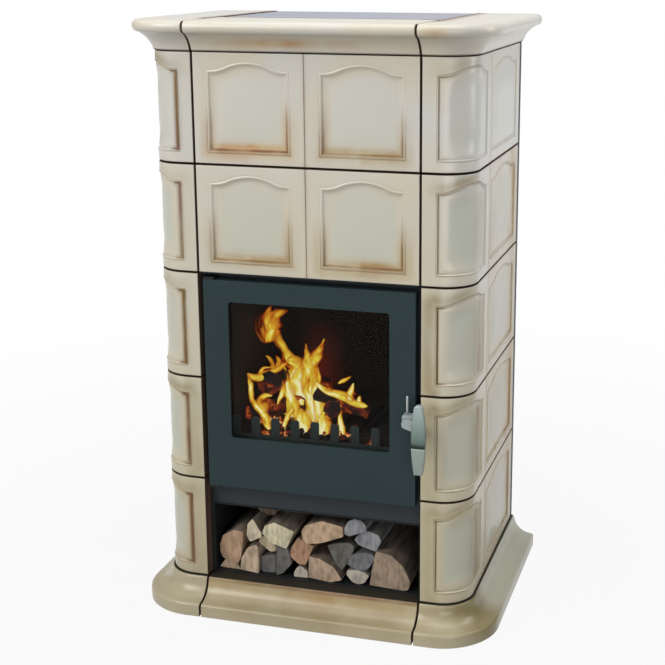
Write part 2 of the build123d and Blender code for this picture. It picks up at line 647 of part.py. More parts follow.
def make_log_guard(seat):
    half = FIRE_HALF - 1.0
    d0 = FRAME_D + FRAME_T + GUARD_PLAY
    guard = box(-half, half, d0, d0 + GUARD_T, seat + SEAT, TOOTH_ROOT)
    for i in range(TEETH):
        x = (i - (TEETH - 1) / 2) * TOOTH_PITCH
        guard += box(x - TOOTH_W / 2, x + TOOTH_W / 2, d0, d0 + GUARD_T, TOOTH_ROOT, TOOTH_TOP - TOOTH_W / 4)
        guard += box(x - TOOTH_W / 4, x + TOOTH_W / 4, d0, d0 + GUARD_T, TOOTH_ROOT, TOOTH_TOP)
    save("log_guard", guard)


def make_ash_drawer(inner_front):
    low = SHELL_LOW + SHELL_T + SEAT
    high = ASH_HIGH - DRAWER_HEAD
    half = ASH_HALF - DRAWER_SIDE
    wall = DRAWER_WALL
    front = inner_front
    back = SHELL_BACK - SHELL_T - DRAWER_BACK
    drawer = box(-half, half, front, back, low, high)
    drawer -= box(-half + wall, half - wall, front + wall, back - wall, low + wall, high + 1.0)
    drawer += box(-ASH_HALF + 1.0, ASH_HALF - 1.0, front - wall, front, low, ASH_HIGH - 1.0)
    pull = high - DRAWER_HEAD
    pull_front = front - wall - DRAWER_HEAD
    drawer += box(-DRAWER_PULL_HALF, DRAWER_PULL_HALF, pull_front, front - wall, pull - wall, pull)
    save("ash_drawer", drawer)


# ---------------------------------------------------------------- door
def window_face(grow, radius):
    width = 2 * (WINDOW_HALF + grow)
    height = WINDOW_HIGH - WINDOW_LOW + 2 * grow
    return RectangleRounded(width, height, radius) if radius else Rectangle(width, height)


def door_plane(depth):
    """A plane across the door, its origin in the middle of the window."""
    middle = (WINDOW_LOW + WINDOW_HIGH) / 2
    return Plane(origin=(0, FRONT + depth, middle), x_dir=(1, 0, 0), z_dir=(0, -1, 0))


def ring(outer_half, width, low, high, d0, d1):
    """A square ring across the door."""
    outer = box(-outer_half, outer_half, d0, d1, low, high)
    return outer - box(-outer_half + width, outer_half - width, d0 - 1.0, d1 + 1.0, low + width, high - width)


def make_door():
    hinge_x = -DOOR_HALF + HINGE_IN
    panel = box(-DOOR_HALF, DOOR_HALF, 0, DOOR_DEPTH, DOOR_BOTTOM, DOOR_TOP)
    panel -= box(-DOOR_HALF + DOOR_SHEET, DOOR_HALF - DOOR_SHEET, DOOR_SHEET, DOOR_DEPTH + 1.0,
                 DOOR_BOTTOM + DOOR_SHEET, DOOR_TOP - DOOR_SHEET)
    panel -= extrude(door_plane(DOOR_SHEET + 1.0) * window_face(0, WINDOW_R), DOOR_SHEET + 2.0)
    panel -= rod(SPINDLE_X, -1.0, SPINDLE_Z, SPINDLE_R + 0.5, DOOR_SHEET + 2.0, (0, 1, 0))
    for z in (DOOR_BOTTOM - 1.0, DOOR_TOP - DOOR_SHEET - 1.0):
        panel -= rod(hinge_x, HINGE_IN, z, HINGE_R + FIT, DOOR_SHEET + 2.0, (0, 0, 1))
    slot_top = SPINDLE_Z + TONGUE_REACH + TONGUE_W
    panel -= box(DOOR_HALF - DOOR_SHEET - 1.0, DOOR_HALF + 1.0, TONGUE_D - 1.0, TONGUE_D + TONGUE_T + 1.0,
                 SPINDLE_Z - TONGUE_W, slot_top)
    save("door_panel", panel)

    glass_plane = door_plane(DOOR_SHEET + GASKET_T + GLASS_T)
    save("door_glass", extrude(glass_plane * window_face(GLASS_LAP, 0), GLASS_T))
    pad_plane = door_plane(DOOR_SHEET + GASKET_T)
    pad = window_face(GLASS_LAP, 0) - window_face(GASKET_T, WINDOW_R)
    save("glass_gasket", extrude(pad_plane * pad, GASKET_T))
    make_glass_clips()

    low = DOOR_BOTTOM + CHANNEL_MARGIN
    high = DOOR_TOP - CHANNEL_MARGIN
    channel_back = DOOR_SHEET + CHANNEL_D
    groove_d = channel_back - ROPE_SUNK
    lip = (CHANNEL_W - ROPE_W) / 2
    channel = ring(CHANNEL_HALF, CHANNEL_W, low, high, DOOR_SHEET, channel_back)
    channel -= ring(CHANNEL_HALF - lip, ROPE_W, low + lip, high - lip, groove_d, channel_back + 1.0)
    save("gasket_channel", channel)
    save("door_gasket", ring(CHANNEL_HALF - lip, ROPE_W, low + lip, high - lip, groove_d, FRAME_D - SEAT))

    brackets = []
    plate_left = -DOOR_HALF
    for side, edge in ((1, DOOR_TOP + DOOR_PLAY), (-1, DOOR_BOTTOM - DOOR_PLAY)):
        z0, z1 = sorted((edge, edge + side * HINGE_PLATE_T))
        bracket = box(plate_left, plate_left + HINGE_PLATE_W, HINGE_PLATE_D, FRAME_D, z0, z1)
        foot = min(edge, edge - side * HINGE_PIN)
        bracket += rod(hinge_x, HINGE_IN, foot, HINGE_R, HINGE_PIN, (0, 0, 1))
        brackets.append(bracket)
    save("door_hinge_brackets", *brackets)


def make_glass_clips():
    edge = WINDOW_HALF + GLASS_LAP
    glass_back = DOOR_SHEET + GASKET_T + GLASS_T
    top = WINDOW_HIGH + GLASS_LAP
    bottom = WINDOW_LOW - GLASS_LAP
    foot_w = CLIP_FOOT
    clips = []
    screws = []

    def clip(x0, x1, z0, z1, fx0, fx1, fz0, fz1):
        body = box(x0, x1, glass_back, glass_back + CLIP_T, z0, z1)
        clips.append(body + box(fx0, fx1, DOOR_SHEET, glass_back, fz0, fz1))
        foot_x = (fx0 + fx1) / 2
        foot_z = (fz0 + fz1) / 2
        screws.append(hexagon(foot_x, glass_back + CLIP_T, foot_z, CLIP_HEAD_R, CLIP_HEAD_H))

    gap = SEAT
    for x in (-CLIP_X, CLIP_X):
        x0, x1 = x - CLIP_W / 2, x + CLIP_W / 2
        clip(x0, x1, top - CLIP_LAP, top + gap + foot_w, x0, x1, top + gap, top + gap + foot_w)
        clip(x0, x1, bottom - gap - foot_w, bottom + CLIP_LAP, x0, x1, bottom - gap - foot_w, bottom - gap)
    middle = (top + bottom) / 2
    z0, z1 = middle - CLIP_W / 2, middle + CLIP_W / 2
    clip(edge - CLIP_LAP, edge + gap + foot_w, z0, z1, edge + gap, edge + gap + foot_w, z0, z1)
    clip(-edge - gap - foot_w, -edge + CLIP_LAP, z0, z1, -edge - gap - foot_w, -edge - gap, z0, z1)
    save("glass_clips", *clips)
    save("glass_clip_screws", *screws)


# ---------------------------------------------------------------- handle and latch
def grip_outline(z0, z1, inset):
    """Part of the lens-shaped grip between two heights, seen from the front."""
    middle = (GRIP_LOW + GRIP_HIGH) / 2
    half_w = GRIP_W / 2 - inset
    half_end = GRIP_END_W / 2 - inset
    edges = [
        Line((-half_end, GRIP_LOW), (half_end, GRIP_LOW)),
        ThreePointArc((half_end, GRIP_LOW), (half_w, middle), (half_end, GRIP_HIGH)),
        ThreePointArc((half_end, GRIP_HIGH), (0, GRIP_HIGH + 4.0), (-half_end, GRIP_HIGH)),
        ThreePointArc((-half_end, GRIP_HIGH), (-half_w, middle), (-half_end, GRIP_LOW)),
    ]
    lens = make_face(edges)
    window = Pos(0, (z0 + z1) / 2) * Rectangle(GRIP_W * 2, z1 - z0)
    return lens & window


def make_handle():
    front_of_arm = ARM_BACK + ARM_T
    plane = Plane(origin=(GRIP_X, FRONT - front_of_arm, 0), x_dir=(1, 0, 0), z_dir=(0, -1, 0))
    band_low = BAND_Z - BAND_H / 2
    band_high = BAND_Z + BAND_H / 2
    upper = grip_outline(band_high, GRIP_HIGH + GRIP_W, 0)
    lower = grip_outline(GRIP_LOW - GRIP_W, band_low, 0)
    band = grip_outline(band_low, band_high, BAND_INSET)
    save("handle_grip_upper", bevelled(plane, upper))
    save("handle_grip_lower", bevelled(plane, lower))
    save("handle_band", extrude(plane * band, GRIP_T - BAND_INSET))

    block = box(SPINDLE_X - BLOCK_W / 2 - 1.0, SPINDLE_X + BLOCK_W / 2 - 1.0, -BLOCK_D, 0,
                SPINDLE_Z - BLOCK_H / 2, SPINDLE_Z + BLOCK_H / 2)
    block -= rod(SPINDLE_X, -BLOCK_D - 1.0, SPINDLE_Z, SPINDLE_R + FIT, BLOCK_D + 2.0, (0, 1, 0))
    save("handle_block", block)

    rod_z = SPINDLE_Z + BLOCK_H / 2
    rod_x = SPINDLE_X - ROD_IN
    rod_top = SPINDLE_Z + ROD_H
    upright = rod(rod_x, -BLOCK_D / 2, rod_z, ROD_R, rod_top - rod_z, (0, 0, 1))
    save("handle_rod", chamfer(upright.edges().group_by(Axis.Z)[-1], ROD_R / 3))

    save("handle_spindle", rod(SPINDLE_X, -ARM_BACK, SPINDLE_Z, SPINDLE_R, ARM_BACK + TONGUE_D, (0, 1, 0)))
    arm_plane = Plane(origin=(0, FRONT - ARM_BACK, 0), x_dir=(1, 0, 0), z_dir=(0, -1, 0))
    arm_end = SPINDLE_Z - ARM_DROP
    path_mid = ((SPINDLE_X + GRIP_X) / 2, (SPINDLE_Z + arm_end) / 2)
    length = math.hypot(GRIP_X - SPINDLE_X, SPINDLE_Z - arm_end)
    slope = math.degrees(math.atan2(arm_end - SPINDLE_Z, GRIP_X - SPINDLE_X))
    bar = arm_plane * (Pos(*path_mid) * Rot(0, 0, slope) * SlotCenterToCenter(length, ARM_W))
    save("handle_arm", extrude(bar, ARM_T))

    tongue_back = FRONT + TONGUE_D + TONGUE_T
    tongue_plane = Plane(origin=(SPINDLE_X, tongue_back, SPINDLE_Z), x_dir=(1, 0, 0), z_dir=(0, -1, 0))
    reach = TONGUE_REACH - TONGUE_W / 2
    tongue = extrude(tongue_plane * (Pos(reach / 2, 0) * SlotCenterToCenter(reach, TONGUE_W)), TONGUE_T)
    save("latch_tongue", tongue)
    save("spindle_nut", hexagon(SPINDLE_X, TONGUE_D + TONGUE_T, SPINDLE_Z, NUT_R, NUT_T))

    lip_x0 = DOOR_HALF + CATCH_GAP
    lip_x1 = lip_x0 + CATCH_W
    lip_d1 = TONGUE_D - 1.0
    lip_d0 = lip_d1 - CATCH_T
    leg_z = SPINDLE_Z + TONGUE_REACH + TONGUE_W / 2 + 2.0
    catch = box(lip_x0, lip_x1, lip_d0, lip_d1, SPINDLE_Z - TONGUE_W / 2, leg_z + CATCH_LEG)
    catch += box(lip_x0, lip_x1, lip_d1 - 0.5, FRAME_D, leg_z, leg_z + CATCH_LEG)
    save("latch_catch", catch)


def bevelled(plane, outline):
    """Part of the grip, with its front edges bevelled."""
    flank = GRIP_T - GRIP_EDGE
    front = plane.offset(flank) * outline
    return extrude(plane * outline, flank) + extrude(front, GRIP_EDGE, taper=QUARTER / 2)


# ---------------------------------------------------------------- firewood
# Split logs in the order they were stacked: how far the end is set back, and the outline of the end,
# across from the first log and up.
LOGS = [
    (6.0, [(0, 14), (45, 13), (40, 23), (15, 33)]),
    (0.0, [(46, 14), (84, 10), (84, 66), (78, 68), (62, 60), (49, 38)]),
    (8.0, [(86, 12), (90, 9), (116, 10), (117, 48), (87, 42)]),
    (3.0, [(119, 7), (133, 13), (151, 34), (143, 64), (121, 67)]),
    (4.0, [(154, 4), (183, 5), (182, 20), (168, 28), (159, 22), (154, 12)]),
    (0.0, [(186, 7), (229, 3), (252, 10), (237, 34), (207, 49), (187, 51)]),
    (5.0, [(260, 23), (270, 10), (284, 5), (297, 9), (305, 25), (297, 30), (281, 33), (262, 32)]),
    (2.0, [(307, 3), (372, 0), (382, 3), (386, 18), (374, 47), (350, 68), (320, 74), (311, 36)]),
    (3.0, [(4, 47), (9, 36), (40, 25), (47, 40), (50, 74), (51, 96), (32, 96), (11, 83), (4, 63)]),
    (14.0, [(80, 66), (103, 48), (114, 49), (114, 60), (96, 80), (83, 76)]),
    (5.0, [(147, 48), (164, 33), (178, 32), (191, 65), (194, 73), (163, 86), (150, 64)]),
    (9.0, [(261, 42), (278, 35), (296, 34), (309, 48), (315, 64), (309, 69), (290, 71), (270, 63)]),
    (12.0, [(221, 84), (236, 48), (249, 36), (267, 64), (274, 86), (264, 93), (240, 91)]),
    (7.0, [(58, 83), (64, 70), (88, 82), (88, 92), (72, 118), (62, 106)]),
    (0.0, [(92, 90), (112, 73), (142, 64), (157, 102), (118, 116), (97, 106)]),
    (2.0, [(175, 84), (183, 76), (211, 81), (254, 98), (252, 119), (213, 125), (180, 113), (172, 101)]),
    (10.0, [(275, 92), (284, 82), (317, 72), (328, 93), (324, 106), (301, 112), (285, 106)]),
    (6.0, [(257, 100), (266, 97), (300, 111), (299, 122), (291, 132), (277, 134), (264, 128), (257, 114)]),
    (46.0, [(68, 112), (88, 101), (104, 102), (104, 120), (84, 130)]),
]


def drop(points, settled):
    """How far a log moves up or down to rest on the floor or on the logs below it."""
    def height_at(poly, x, lower):
        best = None
        for (x0, z0), (x1, z1) in zip(poly, poly[1:] + poly[:1]):
            if min(x0, x1) - 1e-9 <= x <= max(x0, x1) + 1e-9 and abs(x1 - x0) > 1e-9:
                z = z0 + (z1 - z0) * (x - x0) / (x1 - x0)
                best = z if best is None else (min(best, z) if lower else max(best, z))
        return best

    rest = PLINTH_H + SHEET + SEAT - min(z for _, z in points)
    for other in settled:
        for x in sorted({p[0] for p in points} | {p[0] for p in other}):
            under = height_at(points, x, True)
            over = height_at(other, x, False)
            if under is not None and over is not None:
                rest = max(rest, over + SEAT - under)
    return rest


def make_firewood():
    settled = []
    solids = []
    fill = (2 * NICHE_HALF - STACK_SPARE) / max(x for _, section in LOGS for x, _ in section)
    rise = (NICHE_HIGH - PLINTH_H - STACK_HEADROOM) / max(z for _, section in LOGS for _, z in section)
    for setback, section in LOGS:
        outline = [(px * fill + LOG_SIDE - NICHE_HALF, pz * rise) for px, pz in section]
        rest = drop(outline, settled)
        outline = [(px, pz + rest) for px, pz in outline]
        settled.append(outline)
        back = setback * fill
        plane = Plane(origin=(0, FRONT + LOG_FRONT + back, 0), x_dir=(1, 0, 0), z_dir=(0, -1, 0))
        face = make_face(Polyline(*outline, close=True))
        solids.append(extrude(plane * face, 2 * back - LOG_LENGTH))
    print("top of the stack", max(z for outline in settled for _, z in outline))
    save("firewood", *solids)


os.makedirs("parts", exist_ok=True)
make_ceramics()
make_carcass()
make_firebox()
make_door()
make_handle()
make_firewood()
print("size", 2 * (BODY_HALF + PLINTH_OUT), TOTAL_DEPTH, TOP)
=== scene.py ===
# %% [markdown]
# # A tiled wood stove
# A free-standing wood stove wears a coat of glazed relief tiles over a steel firebox. The measured frame
# already holds every solid in its place. This lesson loads it, dresses what shows, and puts each new piece
# on the stove's body.

# %% Load the frame
import math

import bmesh
import bpy
from mathutils import Matrix, Vector, noise


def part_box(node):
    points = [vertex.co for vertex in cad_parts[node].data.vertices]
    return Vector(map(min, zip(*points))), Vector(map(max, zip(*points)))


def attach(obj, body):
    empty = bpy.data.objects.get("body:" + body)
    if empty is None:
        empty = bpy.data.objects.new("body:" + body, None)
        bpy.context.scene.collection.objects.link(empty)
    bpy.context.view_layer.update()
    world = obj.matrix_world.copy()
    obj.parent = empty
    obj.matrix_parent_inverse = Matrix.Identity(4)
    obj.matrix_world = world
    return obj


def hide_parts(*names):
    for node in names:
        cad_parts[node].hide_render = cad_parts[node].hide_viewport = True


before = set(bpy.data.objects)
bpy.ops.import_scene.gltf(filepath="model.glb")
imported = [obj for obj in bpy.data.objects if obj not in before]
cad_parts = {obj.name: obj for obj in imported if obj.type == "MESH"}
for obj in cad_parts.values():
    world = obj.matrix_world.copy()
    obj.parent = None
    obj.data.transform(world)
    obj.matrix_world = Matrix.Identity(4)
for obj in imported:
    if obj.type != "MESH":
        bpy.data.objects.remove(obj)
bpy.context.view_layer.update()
MM = 0.001

# %% [markdown]
# ## Places taken from the frame
# The tiles' front faces lie in the plane of the closed door, so the door gives that plane. The tile edges
# come from the tile nodes. Only the relief's own sizes are written down here, in metres.

# %% Main places
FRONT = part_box("door_panel")[0].y
LEG_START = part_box("corner_tile_right_1")[0].x
SIDE_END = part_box("corner_tile_right_1")[1].y
TILE_DEEP, SEAT_GAP = 24.0 * MM, 0.3 * MM
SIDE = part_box("carcass_top")[1].x + TILE_DEEP + SEAT_GAP
CORNER_R = 60.0 * MM
CORNER_X = SIDE - CORNER_R
CORNER_Y = FRONT + CORNER_R
BODY_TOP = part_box("carcass_top")[1].z
PLINTH_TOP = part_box("plinth_front")[1].z
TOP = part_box("cornice_front")[1].z
ROWS = 5
ROW = (BODY_TOP - PLINTH_TOP) / ROWS
HALF_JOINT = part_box("corner_tile_right_5")[0].z - PLINTH_TOP
print("front", FRONT, "side", SIDE, "row", ROW)

# %% [markdown]
# ## Small helpers
# Colours are written as the hex values of a paint chart, which are sRGB, and Blender's shaders want linear
# numbers. One function turns them. Another adds any shader node with its settings, its sockets and a colour
# ramp's stops, so that a material reads as a recipe of nodes. Two recipes come back in nearly every finish:
# coats of colour over one another, and cloudy patches. The piece helpers put a finished mesh on its body.

# %% Colour and node helpers
def srgb(code):
    """A hex colour as Blender's linear colour."""
    parts = [int(code[i:i + 2], 16) / 255 for i in (1, 3, 5)]
    return [c / 12.92 if c <= 0.04045 else ((c + 0.055) / 1.055) ** 2.4 for c in parts] + [1.0]


def as_value(value):
    """A hex code becomes its colour; any other value stays as it is."""
    return srgb(value) if isinstance(value, str) else value


def tone(value):
    """The same, and a number becomes a grey."""
    return [value] * 3 + [1.0] if isinstance(value, (int, float)) else as_value(value)


def fill(node, sockets):
    """Fills a node's sockets, by name or in their order. A node stands for its first output."""
    for name, value in sockets.items() if isinstance(sockets, dict) else enumerate(sockets):
        if isinstance(value, bpy.types.Node):
            value = value.outputs[0]
        if isinstance(value, bpy.types.NodeSocket):
            node.id_data.links.new(value, node.inputs[name])
        else:
            node.inputs[name].default_value = as_value(value)


def add(tree, kind, sockets=(), stops=(), **settings):
    """One shader node with its settings and links; stops are a colour ramp's places and colours."""
    node = tree.nodes.new("ShaderNode" + kind)
    for name, value in settings.items():
        setattr(node, name, value)
    fill(node, sockets)
    if stops:
        band = node.color_ramp
        while len(band.elements) < len(stops):
            band.elements.new(0.5)
        for element, (place, colour) in zip(band.elements, stops):
            element.position, element.color = place, tone(colour)
    return node


def new_material(name, **surface):
    """A material with one main shader. Values that are the same all over sit on its own sockets."""
    material = bpy.data.materials.new(name)
    material.use_nodes = True
    shader = material.node_tree.nodes["Principled BSDF"]
    fill(shader, {socket.replace("_", " "): value for socket, value in surface.items()})
    return material, material.node_tree, shader


def coats(tree, colour, *layers, **settings):
    """A colour with others laid over it one after another; each layer is its share and its colour."""
    for share, over in layers:
        colour = add(tree, "Mix", {0: share, 6: colour, 7: over}, data_type="RGBA", **settings).outputs[2]
    return colour


def patches(tree, size, detail=3.0, stretch=(1, 1, 1), offset=(0, 0, 0)):
    """Cloudy patches of about this size in metres, on the piece's own coordinates, from 0 to 1."""
    place = add(tree, "TexCoord").outputs["Object"]
    mapped = add(tree, "Mapping", {"Vector": place, "Scale": stretch, "Location": offset})
    return add(tree, "TexNoise", {"Vector": mapped, "Scale": 1 / size, "Detail": detail}).outputs["Fac"]


# %% Piece helpers
def into_scene(name, data):
    thing = bpy.data.objects.new(name, data)
    bpy.context.scene.collection.objects.link(thing)
    return thing


def finished_mesh(bm, name, material):
    """The bmesh as a mesh with its material; the bmesh is freed."""
    mesh = bpy.data.meshes.new(name)
    bm.to_mesh(mesh)
    bm.free()
    mesh.materials.append(material)
    return mesh


def show(bm, name, body, material, stands_for=(), smooth=40.0):
    """Turns a finished bmesh into a piece that rides on its body, sharp at angles over smooth, in degrees."""
    mesh = finished_mesh(bm, name, material)
    mesh.shade_smooth()
    mesh.set_sharp_from_angle(angle=math.radians(smooth))
    piece = into_scene(name, mesh)
    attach(piece, body)
    if stands_for:
        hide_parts(*stands_for)
    return piece


def mirror(bm):
    """Turns a right-hand piece into the left-hand one."""
    bmesh.ops.scale(bm, vec=(-1, 1, 1), verts=bm.verts)
    bmesh.ops.reverse_faces(bm, faces=bm.faces)


# %% [markdown]
# ## Camera
# The photograph was taken from the right and from a little above the stove's top, with the upright edges
# kept nearly upright. The same picture comes from a level turn of 15 degrees, a downward tilt of 13.5 and a
# small lens shift. The place and focal length were fitted to the tile joints.

# %% Camera
CAMERA_PLACE = Vector((0.7752, FRONT - 2.2152, 1.2227))
YAW, PITCH, ROLL = math.radians(-15.22), math.radians(-13.52), math.radians(0.06)
IMAGE, SENSOR = 665, 36.0
FOCAL_PX = 1347.6
CENTRE_PX = (400.0, 282.0)

sight = Vector((math.sin(YAW) * math.cos(PITCH), math.cos(YAW) * math.cos(PITCH), math.sin(PITCH)))
level = Vector((math.cos(YAW), -math.sin(YAW), 0))
upright = level.cross(sight)
across = level * math.cos(ROLL) + upright * math.sin(ROLL)
above = upright * math.cos(ROLL) - level * math.sin(ROLL)
camera_data = bpy.data.cameras.new("camera")
camera_data.sensor_width = SENSOR
camera_data.lens = SENSOR * FOCAL_PX / IMAGE
camera_data.shift_x = -(CENTRE_PX[0] - IMAGE / 2) / IMAGE
camera_data.shift_y = (CENTRE_PX[1] - IMAGE / 2) / IMAGE
camera = into_scene("camera", camera_data)
turn = Matrix((across, above, -sight)).transposed().to_4x4()
camera.matrix_world = Matrix.Translation(CAMERA_PLACE) @ turn
bpy.context.scene.camera = camera
print("lens", camera_data.lens, "shift", camera_data.shift_x, camera_data.shift_y)

# %% [markdown]
# ## Studio
# Glaze is a mirror with colour under it, so it needs large soft lights to reflect. A big panel at the left
# front is the main light, a narrow one stands at the right, a low one fills the front and two hang above.
# The room gives most light from the upper left, and a brighter wall behind the stove shows in grazing
# reflections. The floor stays near white for the camera and still takes the stove's soft shadow.

# %% Floor and room
def is_ray(tree, *kinds):
    """One for rays of these kinds, zero for the others."""
    path = add(tree, "LightPath")
    found = path.outputs[f"Is {kinds[0]} Ray"]
    for kind in kinds[1:]:
        found = add(tree, "Math", (found, path.outputs[f"Is {kind} Ray"]), operation="MAXIMUM")
    return found


def floor_material():
    """Matt grey for the light, near white for the camera, and pure white towards the horizon."""
    material, tree, shader = new_material("matt_pale_floor", Base_Color="#8C8B89", Roughness=0.9)
    place = add(tree, "TexCoord").outputs["Object"]
    away = add(tree, "VectorMath", (place,), operation="LENGTH").outputs["Value"]
    whiter = add(tree, "MapRange", (away, 0.55, 2.2, 0.93, 1.0))
    seen = is_ray(tree, "Camera", "Transmission", "Glossy")
    share = add(tree, "Math", (seen, whiter), operation="MULTIPLY")
    white = add(tree, "Emission", {"Color": "#FFFFFF", "Strength": 1.0})
    both = add(tree, "MixShader", (share, shader, white))
    fill(tree.nodes["Material Output"], {"Surface": both})
    return material


FLOOR_R = 12.0
bm = bmesh.new()
bmesh.ops.create_circle(bm, cap_ends=True, segments=64, radius=FLOOR_R)
floor = into_scene("studio_floor", finished_mesh(bm, "studio_floor", floor_material()))

TO_BRIGHT_CORNER = (-0.62, -0.35, 0.70)
world = bpy.data.worlds.new("studio")
bpy.context.scene.world = world
world.use_nodes = True
tree = world.node_tree
tree.nodes.clear()
looking = add(tree, "TexCoord").outputs["Generated"]
towards = add(tree, "VectorMath", (looking, TO_BRIGHT_CORNER), operation="DOT_PRODUCT").outputs["Value"]
behind = add(tree, "SeparateXYZ", (looking,)).outputs["Y"]
corner_light = add(tree, "MapRange", (towards, -0.7, 1.0, 0.10, 0.52))
wall_light = add(tree, "MapRange", (behind, 0.55, 1.0, 0.0, 0.6))
strength = add(tree, "Math", (corner_light, wall_light), operation="ADD")
room = add(tree, "Background", {"Color": "#F4F5F6", "Strength": strength})
white_room = add(tree, "Background", {"Color": "#FFFFFF", "Strength": 1.0})
lit = add(tree, "MixShader", (is_ray(tree, "Camera", "Transmission"), room, white_room))
add(tree, "OutputWorld", {"Surface": lit})
bpy.context.scene.view_settings.view_transform = "Standard"


# %% Lights
def soft_panel(name, place, target, width, height, watts, tint):
    """A rectangular light that faces its target; places and sizes are in metres."""
    light = bpy.data.lights.new(name, "AREA")
    light.shape = "RECTANGLE"
    light.size, light.size_y = width, height
    light.energy = watts
    light.color = srgb(tint)[:3]
    aim = (Vector(target) - Vector(place)).to_track_quat("-Z", "Y").to_matrix().to_4x4()
    into_scene(name, light).matrix_world = Matrix.Translation(place) @ aim


soft_panel("key_left_front", (-1.9, -2.4, 2.5), (0, 0, 0.8), 1.7, 1.7, 71, "#FFFBF5")
soft_panel("window_right", (1.12, 0.10, 1.25), (0.3, 0.12, 0.75), 0.35, 0.95, 5.5, "#F8F9FC")
soft_panel("ceiling_light", (0.1, -0.6, 2.9), (0, 0, TOP), 1.8, 1.4, 23, "#FFFFFF")
soft_panel("low_front_fill", (1.1, -2.1, 0.60), (0.2, 0, 0.85), 1.3, 0.7, 12.5, "#FDFDFB")
soft_panel("top_light", (0.0, 0.05, 1.92), (0, 0.05, TOP), 1.0, 0.7, 2.5, "#FFFFFF")
print("lights", [light.name for light in bpy.data.lights])

# %% [markdown]
# ## Glaze
# The tiles are fired clay with a cream glaze. A brown wash is rubbed into the relief before the firing, so it
# stays in the grooves and runs to ochre below them, while the raised faces stay pale. The tile mesh carries
# values for this: how much wash lies there, how far the warm halo reaches, how olive it is, and where the
# flat field and the raw dark joint are. On the corner curve and the lower side panels the wash and halo
# values also hold painted shade, the joint value also marks a painted shadow where the cornice meets the
# top plate, and the glaze is painted darker towards the foot as shade. The glaze itself is smooth as glass
# with a faint orange-peel wave.

# %% Glaze material
GLAZE_LAYERS = ("wash_and_shade", "halo_and_shade", "olive", "field", "joint_and_shadow")


def glazed_clay(name):
    """Cream glaze with painted shade: warmer and darker in the lower rows, where less light falls, under the
    wash and its halo.
    """
    material, tree, shader = new_material(name, IOR=1.5, Specular_IOR_Level=0.42)
    wash_and_shade, halo_and_shade, olive, field, joint_and_shadow = (add(tree, "Attribute", attribute_name=layer).outputs["Fac"]
                                      for layer in GLAZE_LAYERS)
    place = add(tree, "TexCoord").outputs["Object"]
    height = add(tree, "SeparateXYZ", (place,)).outputs["Z"]
    cloud = patches(tree, 0.20, 2.0)
    each = patches(tree, 0.26, 1.0, offset=(5, 2, 1))
    runs = patches(tree, 0.06, 2.0, (1, 1, 0.5))
    broken = patches(tree, 0.045, 2.0, (1, 1, 0.7), (3, 1, 2))

    # The glazes, from the foot of the stove up. Both ramps hold painted shade by height: darker lower down,
    # paler at the top, as the light falls.
    cream = add(tree, "ValToRGB", (height,), ((0.05, "#ABA28A"), (0.30, "#C3BBA3"), (0.95, "#C7C6C1")))
    pale = add(tree, "ValToRGB", (height,), ((0.1, "#BBBCAB"), (0.82, "#BEBFB3"), (1.0, "#C7C6BF")))
    warmer = add(tree, "ValToRGB", (cloud,), ((0.40, 0.0), (0.62, 0.5)))

    # How much of the halo and of the wash has stayed; on the corner tiles both also hold painted shade.
    by_tile = add(tree, "ValToRGB", (each,), ((0.34, 0.70), (0.60, 1.0)))
    by_run = add(tree, "ValToRGB", (runs,), ((0.35, 0.60), (0.65, 1.0)))
    amount = add(tree, "Math", (by_tile, by_run), operation="MULTIPLY")
    uneven = add(tree, "Math", (halo_and_shade, amount), operation="MULTIPLY", use_clamp=True)
    worn = add(tree, "ValToRGB", (broken,), ((0.34, 0.72), (0.56, 1.1)))
    rubbed_and_shaded = add(tree, "Math", (wash_and_shade, worn), operation="MULTIPLY", use_clamp=True)

    # Their colours, and then all of it over the cream.
    redder = add(tree, "ValToRGB", (runs,), ((0.4, 0.0), (0.6, 1.0)))
    tan = coats(tree, "#B89D66", (redder, "#B48E5E"), (olive, "#7E7652"))
    deeper = add(tree, "ValToRGB", (each,), ((0.42, 0.0), (0.58, 1.0)))
    brown = coats(tree, "#7A6238", (deeper, "#745038"))
    # Raw clay in the joints, and the same dark as a painted shadow by the top plate.
    raw_clay_and_shadow = coats(tree, "#644B3C", (olive, "#1E180C"))
    glaze = coats(tree, cream, (warmer, "#C9BEA4"), (field, pale), (uneven, tan), (rubbed_and_shaded, brown),
                  (joint_and_shadow, raw_clay_and_shadow))
    dull = add(tree, "Math", (rubbed_and_shaded, joint_and_shadow), operation="MAXIMUM")
    wave = add(tree, "Bump", {"Height": patches(tree, 0.012, 1.0), "Distance": 0.0005, "Strength": 0.2})
    fill(shader, {"Base Color": glaze, "Roughness": add(tree, "Mix", {0: dull, 2: 0.26, 3: 0.75}),
                  "Normal": wave})
    return material


GLAZE = glazed_clay("cream_glazed_clay")


def show_glazed(bm, name, node, smooth=35):
    return show(bm, name, "stove", GLAZE, [node], smooth)


# %% [markdown]
# ## Relief tiles
# A real tile is pressed in a mould: a flat slab, a quirk, a bead and a cove round an arched field. Rings of
# vertices follow the arched outline at growing distances, each at its own height, and bridge_loops joins
# them. Straight cuts then divide the slab finely enough to bend it round the corner, and to swell the
# field a little.

# %% Outline of an arched panel
PANEL_LOW, PANEL_SHOULDER, PANEL_PEAK = 20 * MM, 168 * MM, 183 * MM
LEDGE = 9 * MM


